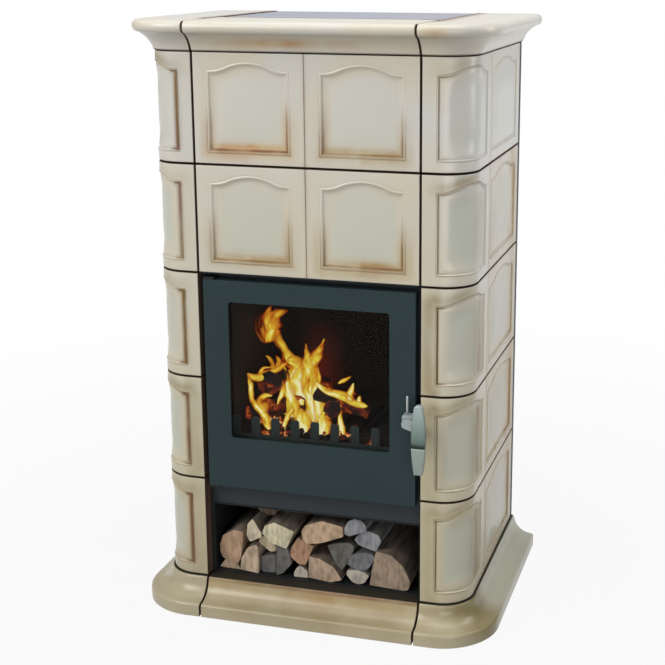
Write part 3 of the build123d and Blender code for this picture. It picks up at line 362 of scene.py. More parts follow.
def arc_through(first, middle, last, steps):
    """Points along the circle through three points, without the first."""
    (ax, ay), (bx, by), (cx, cy) = first, middle, last
    d = 2 * (ax * (by - cy) + bx * (cy - ay) + cx * (ay - by))
    ux = ((ax**2 + ay**2) * (by - cy) + (bx**2 + by**2) * (cy - ay) + (cx**2 + cy**2) * (ay - by)) / d
    uy = ((ax**2 + ay**2) * (cx - bx) + (bx**2 + by**2) * (ax - cx) + (cx**2 + cy**2) * (bx - ax)) / d
    start = math.atan2(ay - uy, ax - ux)
    sweep = math.atan2(cy - uy, cx - ux) - start
    sweep = (sweep + math.pi) % (2 * math.pi) - math.pi
    radius = math.hypot(ax - ux, ay - uy)
    turns = [start + sweep * i / steps for i in range(1, steps + 1)]
    return [(ux + radius * math.cos(a), uy + radius * math.sin(a)) for a in turns]


def arch(centre, width, inset):
    """The panel's outline, drawn in from its edge by inset."""
    half, low = width / 2 - inset, PANEL_LOW + inset
    shoulder, peak = PANEL_SHOULDER - inset, PANEL_PEAK - inset
    rise = peak - shoulder
    ledge = (half - LEDGE, shoulder)
    bend = (half * 0.5, shoulder + rise * 0.55)
    dip = ((ledge[0] + bend[0]) / 2, shoulder + rise * 0.16)
    right = [(half, low), (half, shoulder), ledge] + arc_through(ledge, dip, bend, 6)
    crown = arc_through(bend, (0, peak), (-bend[0], bend[1]), 14)
    left = [(-x, z) for x, z in reversed(right[:-1])]
    return [(centre + x, z) for x, z in right + crown + left]


def edge_distance(x, z, outline):
    """How far a point lies inside an outline; negative outside."""
    nearest, inside = 1e9, False
    for (ax, az), (bx, bz) in zip(outline, outline[1:] + outline[:1]):
        dx, dz = bx - ax, bz - az
        t = max(0.0, min(1.0, ((x - ax) * dx + (z - az) * dz) / (dx * dx + dz * dz)))
        nearest = min(nearest, math.hypot(x - ax - t * dx, z - az - t * dz))
        if (az > z) != (bz > z) and x < ax + (z - az) / (bz - az) * (bx - ax):
            inside = not inside
    return nearest if inside else -nearest


# %% Relief tile as a flat slab
# How far in from the outline, and how far out of the face, in millimetres.
TILE_EDGE = [(0.0, -1.4), (0.3, -0.6), (0.9, -0.15), (1.8, 0.0)]
RELIEF = [(0.0, 0.0), (0.8, -0.4), (1.5, -0.2), (2.4, 0.4), (3.6, 0.7), (4.8, 0.3), (6.0, -0.9), (7.8, -2.4),
          (10.0, -3.6), (12.5, -4.2), (16.0, -4.4)]
CORNER_RELIEF = [(0.0, 0.0), (0.5, -0.8), (1.0, -0.4), (1.6, 0.5), (2.3, 0.7), (3.0, 0.2), (3.6, -1.3),
                 (4.4, -2.2), (5.6, -2.0), (8.5, -1.4), (13.0, -1.2)]
SWELL, CUT = 1.8 * MM, 8 * MM
FACE_DEPTH, SOFT_RIM = 6 * MM, 1.0 * MM
GROOVE_HALF, GROOVE_CUT, GROOVE_DEEP = 0.4 * MM, 1.3 * MM, 2.0 * MM


def ring(bm, points, rise):
    """A closed ring of vertices: along the face, up, and out of it by rise."""
    verts = [bm.verts.new((x, -rise, z)) for x, z in points]
    return [bm.edges.new(pair) for pair in zip(verts, verts[1:] + verts[:1])]


def rectangle(x0, x1, z0, z1, inset):
    """The tile's outline, drawn in from its edge by inset."""
    x0, x1, z0, z1 = x0 + inset, x1 - inset, z0 + inset, z1 - inset
    return [(x0, z0), (x1, z0), (x1, z1), (x0, z1)]


def cut_across(bm, place, normal):
    """Cuts every face along a plane; nothing is taken away."""
    geometry = bm.verts[:] + bm.edges[:] + bm.faces[:]
    bmesh.ops.bisect_plane(bm, geom=geometry, dist=1e-6, plane_co=place, plane_no=normal)


def relief_slab(x0, x1, panels, grooves, relief=RELIEF):
    """A tile with arched panels, flat, with its face towards -Y and its row's foot at Z zero."""
    bm = bmesh.new()
    z0, z1 = HALF_JOINT, ROW - HALF_JOINT
    rings = [ring(bm, rectangle(x0, x1, z0, z1, inset * MM), rise * MM) for inset, rise in TILE_EDGE]
    for outer, inner in zip(rings, rings[1:]):
        bmesh.ops.bridge_loops(bm, edges=outer + inner)
    slab_edges = list(rings[-1])
    for centre, width in panels:
        steps = [ring(bm, arch(centre, width, inset * MM), rise * MM) for inset, rise in relief]
        for outer, inner in zip(steps, steps[1:]):
            bmesh.ops.bridge_loops(bm, edges=outer + inner)
        bmesh.ops.triangle_fill(bm, use_beauty=True, edges=steps[-1], normal=(0, -1, 0))
        slab_edges += steps[0]
    bmesh.ops.triangle_fill(bm, use_beauty=True, edges=slab_edges, normal=(0, -1, 0))
    back = ring(bm, rectangle(x0, x1, z0, z1, 0), -TILE_DEEP)
    bmesh.ops.bridge_loops(bm, edges=rings[0] + back)
    bmesh.ops.triangle_fill(bm, use_beauty=True, edges=back, normal=(0, 1, 0))
    bmesh.ops.recalc_face_normals(bm, faces=bm.faces)
    for i in range(1, int((x1 - x0) / CUT)):
        cut_across(bm, (x0 + i * CUT, 0, 0), (1, 0, 0))
    for i in range(1, int((z1 - z0) / CUT)):
        cut_across(bm, (0, 0, z0 + i * CUT), (0, 0, 1))
    for groove in grooves:
        for x in (groove - GROOVE_CUT, groove, groove + GROOVE_CUT):
            cut_across(bm, (x, 0, 0), (1, 0, 0))
    return bm


def fade(value, low, high):
    """A smooth step from zero at low to one at high."""
    t = max(0.0, min(1.0, (value - low) / (high - low)))
    return t * t * (3 - 2 * t)


def bell(value, centre, width):
    """One at the centre, and soon zero beyond the width."""
    return math.exp(-((value - centre) / width) ** 2)


def glaze_values(bm, panels, grooves, wash_at, sink_at=None):
    """Swells the fields, sinks the grooves and notes where the wash, its halo and the pale fields lie; on
    corner tiles the wash and halo also hold painted shade.
    """
    wash_and_shade, halo_and_shade, olive, field, joint_and_shadow = (bm.verts.layers.float.new(name) for name in GLAZE_LAYERS)
    outlines = [arch(centre, width, 0) for centre, width in panels]
    x0, x1 = min(v.co.x for v in bm.verts), max(v.co.x for v in bm.verts)
    for v in bm.verts:
        x, z = v.co.x, v.co.z
        rim = min(x - x0, x1 - x, z - HALF_JOINT, ROW - HALF_JOINT - z)
        v[joint_and_shadow] = 1.0 if v.co.y > FACE_DEPTH else 1 - fade(rim, 0.0, SOFT_RIM)
        if v.co.y > FACE_DEPTH:
            continue
        d, nearest, centre = max((edge_distance(x, z, outline) / MM, i, panels[i][0])
                                 for i, outline in enumerate(outlines))
        v[wash_and_shade], v[halo_and_shade], v[olive] = wash_at(d, nearest, (x - centre) / MM, z / MM)
        v[field] = fade(d, 12, 30)
        v.co.y -= SWELL * fade(d, 13, 55)
        if sink_at:
            v.co.y += sink_at(x) * fade(d, 6, 40)
        for groove in grooves:
            off = abs(x - groove)
            if off < GROOVE_HALF:
                v.co.y += GROOVE_DEEP
            v[wash_and_shade] = max(v[wash_and_shade], 0.40 * bell(off / MM, 0, 1.2))
            v[halo_and_shade] = max(v[halo_and_shade], 0.14 * bell(off / MM, 0, 7))


# %% Front tiles over the door
# For each panel: the brown along the foot, the tan inside and outside its left side, the same on its right
# side, and how olive it all is.
FRONT_ROWS = {"upper": [(1.15, 0.65, 0.75, 1.35, 0.50, 0.00), (0.85, 0.90, 0.20, 1.15, 0.80, 0.45)],
              "lower": [(0.95, 0.65, 0.30, 1.30, 0.35, 0.45), (0.90, 0.85, 1.15, 1.40, 1.00, 0.45)]}


def front_wash(rows):
    """Brown in the cove along the foot of the panel and up its lower sides, and tan around it."""
    def wash_at(d, nearest, x, z):
        foot, left_in, left_out, right_in, right_out, olive = rows[nearest]
        inside, outside = (left_in, left_out) if x < 0 else (right_in, right_out)
        low, at_foot = 1 - fade(z, 45, 130), 1 - fade(z, 24, 50)
        strong = max(foot * at_foot, 0.8 * inside * low)
        line = (0.05 + 0.95 * strong) * bell(d, 7.2, 2.8) + (0.06 + 0.60 * low) * bell(d, 0.8, 1.1)
        around = (0.06 + 0.60 * low * inside) * bell(d, 10, 9) + 0.62 * foot * at_foot * bell(d, 13, 13)
        around += 0.62 * outside * low * bell(d, -6, 8)
        return line, around + 0.04, olive
    return wash_at


FRONT_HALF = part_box("front_tile_upper")[1].x
PANEL_WIDTH = 157 * MM
PANEL_MID = 104.5 * MM
front_panels = [(-PANEL_MID, PANEL_WIDTH), (PANEL_MID, PANEL_WIDTH)]
for level_name, row in (("upper", 4), ("lower", 3)):
    slab = relief_slab(-FRONT_HALF, FRONT_HALF, front_panels, [0.0])
    glaze_values(slab, front_panels, [0.0], front_wash(FRONT_ROWS[level_name]))
    bmesh.ops.translate(slab, verts=slab.verts, vec=(0, FRONT, PLINTH_TOP + row * ROW))
    tile = show_glazed(slab, "relief_tile_front_" + level_name, "front_tile_" + level_name, 50)
    print(tile.name, len(tile.data.polygons), "faces")

# %% [markdown]
# ## Corner tiles
# A corner tile carries two panels. The first wraps the rounded corner, and a thin upright groove parts it from
# the second on the flat side. The slab is made flat, as long as the way round the corner, and each
# vertex is then carried to its place along that way.

# %% Corner tiles
ARC = CORNER_R * math.pi / 2
LEG = CORNER_X - LEG_START
WAY = LEG + ARC + (SIDE_END - CORNER_Y)
SIDE_START = LEG + ARC - CORNER_R
CURVE_PANEL_EDGE = LEG - 4 * MM
SIDE_PANEL_MID, SIDE_PANEL_WIDTH, SIDE_GROOVE = 278 * MM, 234 * MM, 148 * MM
corner_panels = [(CURVE_PANEL_EDGE + PANEL_WIDTH / 2, PANEL_WIDTH),
                 (SIDE_START + SIDE_PANEL_MID, SIDE_PANEL_WIDTH)]
corner_grooves = [SIDE_START + SIDE_GROOVE]


def carry_round(co):
    """A place on the flat slab as a place round the right front corner."""
    s, rise = co.x, -co.y
    if s <= LEG:
        return Vector((LEG_START + s, FRONT - rise, co.z))
    if s <= LEG + ARC:
        angle = (s - LEG) / CORNER_R
        reach = CORNER_R + rise
        return Vector((CORNER_X + reach * math.sin(angle), CORNER_Y - reach * math.cos(angle), co.z))
    return Vector((SIDE + rise, CORNER_Y + s - LEG - ARC, co.z))


# For each row from the top: the brown line beside the door, the shade over the arch, the painted shade band on
# the curve, the tan border beside the door and the tan on the side panel, which in the lower rows is also
# painted shade. The left column's line is a broader band.
RIGHT_ROWS = [(0.45, 0.40, 0.00, 0.02, 0.00), (0.50, 0.85, 0.55, 0.10, 0.95), (1.10, 0.85, 1.35, 0.80, 0.70),
              (0.50, 0.90, 1.60, 0.50, 1.25), (0.75, 0.80, 2.00, 0.70, 0.85)]
LEFT_ROWS = [(0.95, 0.70, 0.00, 0.03, 0.30), (0.75, 0.30, 0.00, 0.03, 0.30), (1.05, 0.50, 0.00, 0.05, 0.30),
             (1.10, 0.90, 0.00, 0.50, 0.30), (1.00, 0.75, 0.00, 0.35, 0.30)]


def corner_wash(row, broad):
    """The wash of one corner tile, with painted shade on the curve and on the lower side panel; broad is the
    width of its line beside the door.
    """
    door_line, arch_shade, curve_shade_band, border, side_tan_and_shade = row

    def wash_at(d, nearest, x, z):
        line = 0.14 * bell(d, 4.4, 1.2) + 0.12 * bell(d, 0.6, 0.8)
        around = 0.03
        if nearest == 0:
            line *= 1 - 0.8 * fade(x, 15, 45)
            beside_door = (1 - fade(x, -68, -58)) * fade(z, 20, 26) * (1 - fade(z, 164, 170))
            line += door_line * beside_door * bell(d, 4.5, broad)
            line += 0.40 * fade(z, 150, 170) * bell(d, 1.2, 1.3) * (arch_shade + 0.3)
            # Painted shade: the field darkens where the corner turns away from the light, in this line and in
            # the halo below.
            line += 0.20 * curve_shade_band * bell(x, 38, 17) * fade(d, 4, 16)
            around += arch_shade * fade(z, 150, 172) * bell(x, -25, 60) * bell(d, -7, 9)
            around += curve_shade_band * bell(x, 40, 30) * fade(d, 2, 12)
            around += border * (1 - fade(x, -78, -62)) * bell(d, -12, 16)
            return line, around, 0.8
        # The side panel: a real tan along its rear edge, and in the lower rows painted shade.
        around += side_tan_and_shade * (0.8 * bell(x, 100, 38) + 0.35)
        return line, around, 0.35
    return wash_at


def curve_sink(x):
    """On the curve the field lies deeper than on the flats."""
    return 5.5 * MM * bell(x, LEG + ARC / 2, 38 * MM)


flat_tile = relief_slab(0.0, WAY, corner_panels, corner_grooves, CORNER_RELIEF)
flat_mesh = bpy.data.meshes.new("flat_corner_tile")
flat_tile.to_mesh(flat_mesh)
flat_tile.free()
for side, rows, broad in (("right", RIGHT_ROWS, 1.8), ("left", LEFT_ROWS, 4.8)):
    for number, row in enumerate(rows, 1):
        bm = bmesh.new()
        bm.from_mesh(flat_mesh)
        glaze_values(bm, corner_panels, corner_grooves, corner_wash(row, broad), curve_sink)
        for v in bm.verts:
            v.co = carry_round(v.co)
        if side == "left":
            mirror(bm)
        bmesh.ops.translate(bm, verts=bm.verts, vec=(0, 0, PLINTH_TOP + (ROWS - number) * ROW))
        tile = show_glazed(bm, f"relief_tile_{side}_{number}", f"corner_tile_{side}_{number}", 50)
bpy.data.meshes.remove(flat_mesh)
print(tile.name, len(tile.data.polygons), "faces")

# %% [markdown]
# ## Plinth and cornice
# Both are mouldings: one section that runs along the front, turns the corner and runs back along the side.
# The section is drawn once, extruded, spun a quarter turn about the corner's axis and extruded again, as the
# potter's template would be drawn round the stove.

# %% Moulding sections
PLINTH_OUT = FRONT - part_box("plinth_front")[0].y
CORNICE_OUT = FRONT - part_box("cornice_front")[0].y
PLINTH_FOOT = 20 * MM
CORNICE_HIGH = TOP - BODY_TOP
CORNICE_SLAB = 18 * MM
# The cornice's inner strip next to the top plate is painted dark, as the shadow in the gap there.
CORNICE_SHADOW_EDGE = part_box("cornice_front")[1].y - 13 * MM
RUN_STEPS, SIDE_STEPS = 12, 8
NEAR_SEAM = 0.7 * MM


def plinth_section():
    """Outwards from the tile face, and up, from the inner top edge round the foot."""
    soft = 6 * MM
    nose = (PLINTH_OUT, PLINTH_FOOT)
    cove_low = (PLINTH_OUT - soft, PLINTH_FOOT + soft)
    cove_high = (soft, PLINTH_TOP - soft)
    cove_mid = (cove_low[0] * 0.45, PLINTH_FOOT + (PLINTH_TOP - PLINTH_FOOT) * 0.34)
    brow = (soft * 0.7, PLINTH_TOP - soft * 0.3)
    curve = [nose] + arc_through(nose, (PLINTH_OUT - soft * 0.3, PLINTH_FOOT + soft * 0.7), cove_low, 4)
    curve += arc_through(cove_low, cove_mid, cove_high, 14) + arc_through(cove_high, brow, (0, PLINTH_TOP), 4)
    foot = [(PLINTH_OUT - 1.2 * MM, 0), (PLINTH_OUT, 1.2 * MM)]
    return [(-TILE_DEEP, 0)] + foot + curve + [(-TILE_DEEP, PLINTH_TOP)]


def cornice_section(inner):
    """The cornice's sweep and rounded lip, with its flat top reaching inwards."""
    crease = (CORNICE_OUT - 10.5 * MM, CORNICE_HIGH - 22 * MM)
    step = (crease[0] + 1.2 * MM, crease[1] + 0.3 * MM)
    lip_out = (CORNICE_OUT, CORNICE_HIGH - 10.5 * MM)
    lip_top = (CORNICE_OUT - 10 * MM, CORNICE_HIGH)
    foot = (2 * MM, 0)
    curve = [foot] + arc_through(foot, (11.5 * MM, CORNICE_HIGH * 0.33), crease, 12) + [step]
    curve += arc_through(step, lip_out, lip_top, 14)
    slab = CORNICE_HIGH - CORNICE_SLAB
    top = [(inner + 14 * MM, CORNICE_HIGH), (inner + 12 * MM, CORNICE_HIGH), (inner, CORNICE_HIGH),
           (inner, slab), (-TILE_DEEP, slab), (-TILE_DEEP, 0)]
    return [(x, BODY_TOP + z) for x, z in curve + top]


def moulding_values(bm, wash_at, halo_at, olive_at, pale_at=None):
    """Notes the wash, its halo and its tint, the raw dark clay where a piece meets its neighbours, and a
    painted shadow on the cornice top where it meets the top plate.
    """
    wash_and_shade, halo_and_shade, olive, field, joint_and_shadow = (bm.verts.layers.float.new(name) for name in GLAZE_LAYERS)
    for v in bm.verts:
        v[wash_and_shade], v[halo_and_shade], v[olive] = wash_at(v.co), halo_at(v.co), olive_at(v.co)
        v[field] = pale_at(v.co) if pale_at else 0.0
        meets_tiles = PLINTH_TOP - NEAR_SEAM < v.co.z < BODY_TOP + NEAR_SEAM
        meets_neighbour = min(abs(abs(v.co.x) - FRONT_HALF), abs(abs(v.co.x) - LEG_START)) < 0.5 * MM
        # Painted shadow: the strip by the top plate gets the dark of the joints.
        shadow_by_plate = v.co.z > BODY_TOP + NEAR_SEAM and v.co.y > CORNICE_SHADOW_EDGE and abs(v.co.x) < LEG_START
        v[joint_and_shadow] = 1.0 if meets_tiles or meets_neighbour or shadow_by_plate else 0.0
        if meets_tiles:
            v[olive] = 1.0


def end_caps(bm):
    """Closes the open ends of a run, and rounds their outer edges as a glazed edge is."""
    open_edges = [e for e in bm.edges if e.is_boundary]
    caps = bmesh.ops.holes_fill(bm, edges=open_edges, sides=0)["faces"]
    bmesh.ops.recalc_face_normals(bm, faces=bm.faces)
    rims = list(dict.fromkeys(e for face in caps for e in face.edges))
    bmesh.ops.bevel(bm, geom=rims, offset=1.2 * MM, segments=3, profile=0.5, affect="EDGES", material=-1,
                    clamp_overlap=True)


def section_ring(bm, section, x):
    """The section's ring of edges across the run, at one place along the front."""
    verts = [bm.verts.new((x, FRONT - out, z)) for out, z in section]
    return [bm.edges.new(pair) for pair in zip(verts, verts[1:] + verts[:1])]


def run(bm, edges, way):
    """Extrudes a ring of edges along a straight way and gives the new ring."""
    new = bmesh.ops.extrude_edge_only(bm, edges=edges)["geom"]
    moved = [g for g in new if isinstance(g, bmesh.types.BMVert)]
    bmesh.ops.translate(bm, verts=moved, vec=way)
    return [g for g in new if isinstance(g, bmesh.types.BMEdge) and all(v in set(moved) for v in g.verts)]


def straight_piece(section, half):
    """The front piece of a moulding."""
    bm = bmesh.new()
    edges = section_ring(bm, section, -half)
    for _ in range(RUN_STEPS):
        edges = run(bm, edges, (2 * half / RUN_STEPS, 0, 0))
    end_caps(bm)
    return bm


def corner_piece(section, back):
    """The right-hand piece of a moulding."""
    bm = bmesh.new()
    edges = section_ring(bm, section, LEG_START)
    edges = run(bm, edges, (CORNER_X - LEG_START, 0, 0))
    turned = bmesh.ops.spin(bm, geom=edges, cent=(CORNER_X, CORNER_Y, 0), axis=(0, 0, 1), dvec=(0, 0, 0),
                            angle=math.pi / 2, steps=24, use_duplicate=False)["geom_last"]
    edges = [g for g in turned if isinstance(g, bmesh.types.BMEdge)]
    for _ in range(SIDE_STEPS):
        edges = run(bm, edges, (0, (back - CORNER_Y) / SIDE_STEPS, 0))
    bmesh.ops.remove_doubles(bm, verts=bm.verts, dist=1e-6)
    end_caps(bm)
    return bm


def both_sides(make, name, node):
    for side in ("right", "left"):
        bm = make(side)
        if side == "left":
            mirror(bm)
        show_glazed(bm, f"{name}_{side}", f"{node}_{side}")


# %% Plinth
PLINTH_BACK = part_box("plinth_right")[1].y


def plinth_halo(co):
    """Ochre lies in the upper part of the cove and in a thin line over the foot."""
    return 0.50 * bell(co.z, 50 * MM, 16 * MM) + 0.40 * bell(co.z, 24 * MM, 8 * MM) + 0.20


def corner_plinth(side):
    bm = corner_piece(plinth_section(), PLINTH_BACK)
    # The right-hand piece gets more halo and a dark curve: painted shade, as its corner turns away from the
    # light.
    share, dark = (1.2, 1.1) if side == "right" else (0.4, 0.0)

    def along_side(co):
        return 0.75 * fade(co.y, CORNER_Y - 20 * MM, CORNER_Y + 60 * MM)

    def halo_at(co):
        shade_on_curve = dark * bell(co.y, CORNER_Y - 25 * MM, 45 * MM)
        shade_on_curve *= fade(co.x, CORNER_X - 10 * MM, CORNER_X + 30 * MM)
        return (share * plinth_halo(co) + shade_on_curve) * (1 - along_side(co)) + 0.06

    moulding_values(bm, lambda co: 0.0, halo_at, lambda co: 0.9, along_side)
    return bm


bm = straight_piece(plinth_section(), FRONT_HALF)
moulding_values(bm, lambda co: 0.85 * bell(co.z, 60.5 * MM, 3.5 * MM), lambda co: 1.15 * plinth_halo(co) + 0.1,
                lambda co: 0.45 + 0.35 * bell(co.z, 24 * MM, 16 * MM))
show_glazed(bm, "plinth_moulding_front", "plinth_front")
both_sides(corner_plinth, "plinth_moulding", "plinth")
print("plinth reaches out", PLINTH_OUT, "height", PLINTH_TOP)

# %% Cornice
CORNICE_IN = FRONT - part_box("cornice_front")[1].y
CORNICE_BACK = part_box("cornice_right")[1].y


def cornice_halo(co):
    """The wash gathers in the sweep under the lip."""
    return 0.85 * bell(co.z - BODY_TOP, 16 * MM, 10 * MM) * (0.15 + bell(co.x, -50 * MM, 110 * MM)) + 0.03


def corner_cornice(side):
    bm = corner_piece(cornice_section(-CORNER_R + 0.01 * MM), CORNICE_BACK)
    slab_low = TOP - CORNICE_SLAB
    box = bmesh.ops.create_cube(bm, size=1.0)["verts"]
    size = (CORNER_X - LEG_START, CORNICE_BACK - CORNER_Y, TOP - slab_low)
    middle = ((CORNER_X + LEG_START) / 2, (CORNICE_BACK + CORNER_Y) / 2, (TOP + slab_low) / 2)
    bmesh.ops.scale(bm, vec=size, verts=box)
    bmesh.ops.translate(bm, vec=middle, verts=box)
    spot = 0.9 if side == "right" else 0.0

    def halo_at(co):
        on_lip = spot * bell(co.x, 236 * MM, 22 * MM) * bell(co.z - BODY_TOP, 38 * MM, 9 * MM)
        return 0.35 * cornice_halo(co) + on_lip

    moulding_values(bm, lambda co: 0.0, halo_at, lambda co: 0.0)
    return bm


bm = straight_piece(cornice_section(CORNICE_IN), FRONT_HALF)
moulding_values(bm, lambda co: 0.0, cornice_halo, lambda co: 0.0)
show_glazed(bm, "cornice_moulding_front", "cornice_front")
both_sides(corner_cornice, "cornice_moulding", "cornice")
print("cornice reaches out", CORNICE_OUT, "height", CORNICE_HIGH)

# %% [markdown]
# ## Steel
# The door is folded sheet with a fine powder coat, dark blue-green. The frame behind it is nearly black, the
# store and the carcass are matt black, and the top plate is a pale grey enamel. A weld and a bevel modifier
# round the sharp edges of the measured solids without changing their meshes.

# %% Paints and metals
def darker(code, share):
    """A hex colour with only a share of its light."""
    return [c * share for c in srgb(code)[:3]] + [1.0]


def powder_coat(name, colour, rough, gloss=0.28):
    """Baked powder paint: an even colour with a fine, soft orange peel."""
    material, tree, shader = new_material(name, Roughness=rough, IOR=1.5, Specular_IOR_Level=gloss)
    even = coats(tree, colour, (patches(tree, 0.22, 2.0), darker(colour, 0.80)))
    peel = add(tree, "Bump", {"Height": patches(tree, 0.0036, 1.0), "Distance": 0.00012, "Strength": 0.5})
    fill(shader, {"Base Color": even, "Normal": peel})
    return material


def worked_steel(name, colour, rough):
    """Bare steel, ground along one direction, so its sheen is drawn out into fine lines."""
    material, tree, shader = new_material(name, Metallic=1.0)
    lines = patches(tree, 0.03, 4.0, (1, 1, 60))
    sheen = add(tree, "ValToRGB", (lines,), ((0.3, rough * 0.8), (0.7, rough * 1.25)))
    scratches = add(tree, "Bump", {"Height": lines, "Distance": 0.00005, "Strength": 0.4})
    fill(shader, {"Base Color": coats(tree, colour, (lines, darker(colour, 0.7))), "Roughness": sheen,
                  "Normal": scratches})
    return material


DOOR_PAINT = powder_coat("anthracite_powder_coat", "#2B3A3D", 0.45, gloss=0.16)
BLACK = powder_coat("matt_black_stove_paint", "#1C1F20", 0.6)
FRAME_PAINT = powder_coat("dark_frame_paint", "#2B3136", 0.5)
BACK_PAINT = powder_coat("dark_grey_back_paint", "#303537", 0.55)
TOP_ENAMEL = powder_coat("pale_grey_enamel", "#8F93A4", 0.3)
BRIGHT = worked_steel("bright_steel", "#C2C5C6", 0.25)


def finish_nodes(names, material, bevel=0.0):
    """Gives measured solids their finish, and rounds their edges by a bevel in metres."""
    for name in names.split():
        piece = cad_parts[name]
        piece.data.materials.clear()
        piece.data.materials.append(material)
        if bevel:
            weld = piece.modifiers.new("weld", "WELD")
            weld.merge_threshold = 1e-5
            edge = piece.modifiers.new("rounded_edges", "BEVEL")
            edge.width, edge.segments = bevel, 2
            edge.limit_method, edge.angle_limit = "ANGLE", math.radians(40)


finish_nodes("wood_store_liner door_hinge_brackets latch_catch gasket_channel firebox_shell ash_drawer "
             "air_slide upper_baffle flue_spigot upper_front_panel base_frame side_panel_left "
             "side_panel_right carcass_top", BLACK, 0.4 * MM)
finish_nodes("back_panel_screws glass_clips glass_clip_screws handle_spindle latch_tongue spindle_nut", BRIGHT,
             0.2 * MM)
finish_nodes("back_panel", BACK_PAINT, 0.4 * MM)
finish_nodes("door_panel", DOOR_PAINT, 1.1 * MM)
finish_nodes("front_frame", FRAME_PAINT, 0.4 * MM)
finish_nodes("top_plate", TOP_ENAMEL, 0.8 * MM)
print("main materials", len(bpy.data.materials))

# %% [markdown]
# ## Inside the firebox
# Cast iron is grey-black and grainy, the bricks are brown under their soot, and the rope seals are grey glass
# fibre. A faint red glow is painted on the back brick as emission, standing for the flames' light on it.

# %% Firebox finishes
def rough_cast(name, colour, dark, grain, depth, rough=0.85):
    """A grainy surface with darker spots."""
    material, tree, shader = new_material(name, Roughness=rough)
    spotted = coats(tree, colour, (patches(tree, grain * 12, 5.0), dark))
    grit = add(tree, "Bump", {"Height": patches(tree, grain, 2.0), "Distance": depth, "Strength": 0.6})
    fill(shader, {"Base Color": spotted, "Normal": grit})
    return material


def add_painted_firelight(material):
    """A faint red glow painted on the back brick as emission, where the flames would light it."""
    tree = material.node_tree
    place = add(tree, "TexCoord").outputs["Object"]
    mapped = add(tree, "Mapping", {"Vector": place, "Location": (0.096, 0, -0.193), "Scale": (1.0, 0.0, 0.5)})
    away = add(tree, "VectorMath", (mapped,), operation="LENGTH").outputs["Value"]
    glow = add(tree, "ValToRGB", (away,), ((0.0, "#561509"), (0.022, "#350E08"), (0.055, 0.0)))
    fill(tree.nodes["Principled BSDF"], {"Emission Color": glow, "Emission Strength": 1.0})
    return material


CAST_IRON = rough_cast("cast_iron", "#2B2B2B", "#1A1918", 0.002, 0.0004, 0.6)
BRICK, FIRELIT_BRICK = (rough_cast(name, "#2A201A", "#110E0C", 0.004, 0.0006)
                    for name in ("sooty_firebrick", "painted_firelight_back_brick"))
ROPE = rough_cast("glass_fibre_rope", "#3C3D3C", "#242525", 0.003, 0.0008)
finish_nodes("hearth_bricks brick_left brick_right baffle_plate", BRICK, 1.0 * MM)
finish_nodes("brick_back", add_painted_firelight(FIRELIT_BRICK), 1.0 * MM)
finish_nodes("fire_grate", CAST_IRON, 0.8 * MM)
finish_nodes("door_gasket glass_gasket", ROPE)
print("materials so far", len(bpy.data.materials))

# %% [markdown]
# ## Log guard and handle
# The guard's teeth get the round tops that a casting has: a flat plate is cut at each tooth's sides, the faces
# between the cuts grow up, and the upper corners are bevelled. The handle is satin nickel, and its colour holds
# a painted reflection: darker above the band between its two parts, where it would mirror the door, and paler
# at the top.

# %% Log guard and handle
def measured_copy(node):
    """A measured solid's mesh with its corners shared again, as a bmesh of whole flat faces."""
    bm = bmesh.new()
    bm.from_mesh(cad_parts[node].data)
    bmesh.ops.remove_doubles(bm, verts=bm.verts, dist=1e-6)
    bmesh.ops.dissolve_limit(bm, angle_limit=math.radians(2), verts=bm.verts, edges=bm.edges)
    return bm


def along_y(edge):
    return abs(edge.verts[0].co.y - edge.verts[1].co.y) > 0.99 * edge.calc_length()


def satin_handle(name):
    """Satin nickel with a painted reflection and highlight: grey-green, paler towards the top of the grip and
    again below the band.
    """
    material, tree, shader = new_material(name, Metallic=0.3, Roughness=0.3)
    foot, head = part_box("handle_grip_lower")[0].z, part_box("handle_grip_upper")[1].z
    place = add(tree, "TexCoord").outputs["Object"]
    height = add(tree, "SeparateXYZ", (place,)).outputs["Z"]
    along = add(tree, "MapRange", (height, foot, head, 0.0, 1.0))
    # Painted reflection and highlight: the grip's colour runs from pale to dark and back along its height.
    shade = add(tree, "ValToRGB", (along,), (
        (0.0, "#828E88"), (0.38, "#8D9992"), (0.40, "#9CA8A1"), (0.432, "#25332D"), (0.47, "#53675F"),
        (0.62, "#6F837C"), (1.0, "#A6B2B1")))
    faint = add(tree, "ValToRGB", (patches(tree, 0.02, 2.0, (6, 6, 1)),), ((0.4, 0.0), (0.6, 0.15)))
    fill(shader, {"Base Color": coats(tree, shade, (faint, "#9AA8A6"))})
    return material


GUARD_STEEL = powder_coat("grey_cast_guard", "#3A4646", 0.5)
HANDLE_STEEL = satin_handle("satin_nickel")
PLAIN_SATIN = powder_coat("satin_nickel_plain", "#A2ACAE", 0.35)
BAND_PAINT = powder_coat("dark_green_band", "#202D28", 0.35)

GUARD_LOW, GUARD_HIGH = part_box("log_guard")
TEETH_EACH_SIDE, TOOTH_PITCH = 4, 39 * MM
TOOTH_HALF, TOOTH_TALL, TOOTH_ROUND = 8 * MM, 35 * MM, 4.5 * MM
guard = bmesh.new()
plate = bmesh.ops.create_cube(guard, size=1.0)["verts"]
plate_size = Vector(GUARD_HIGH) - Vector(GUARD_LOW) - Vector((0, 0, TOOTH_TALL))
bmesh.ops.scale(guard, vec=plate_size, verts=plate)
bmesh.ops.translate(guard, vec=Vector(GUARD_LOW) + plate_size / 2, verts=plate)
for number in range(-TEETH_EACH_SIDE, TEETH_EACH_SIDE + 1):
    for edge in (-TOOTH_HALF, TOOTH_HALF):
        cut_across(guard, (number * TOOTH_PITCH + edge, 0, 0), (1, 0, 0))
guard.normal_update()
feet = [f for f in guard.faces if f.normal.z > 0.9
        and abs(max(e.calc_length() for e in f.edges) - 2 * TOOTH_HALF) < 0.1 * MM]
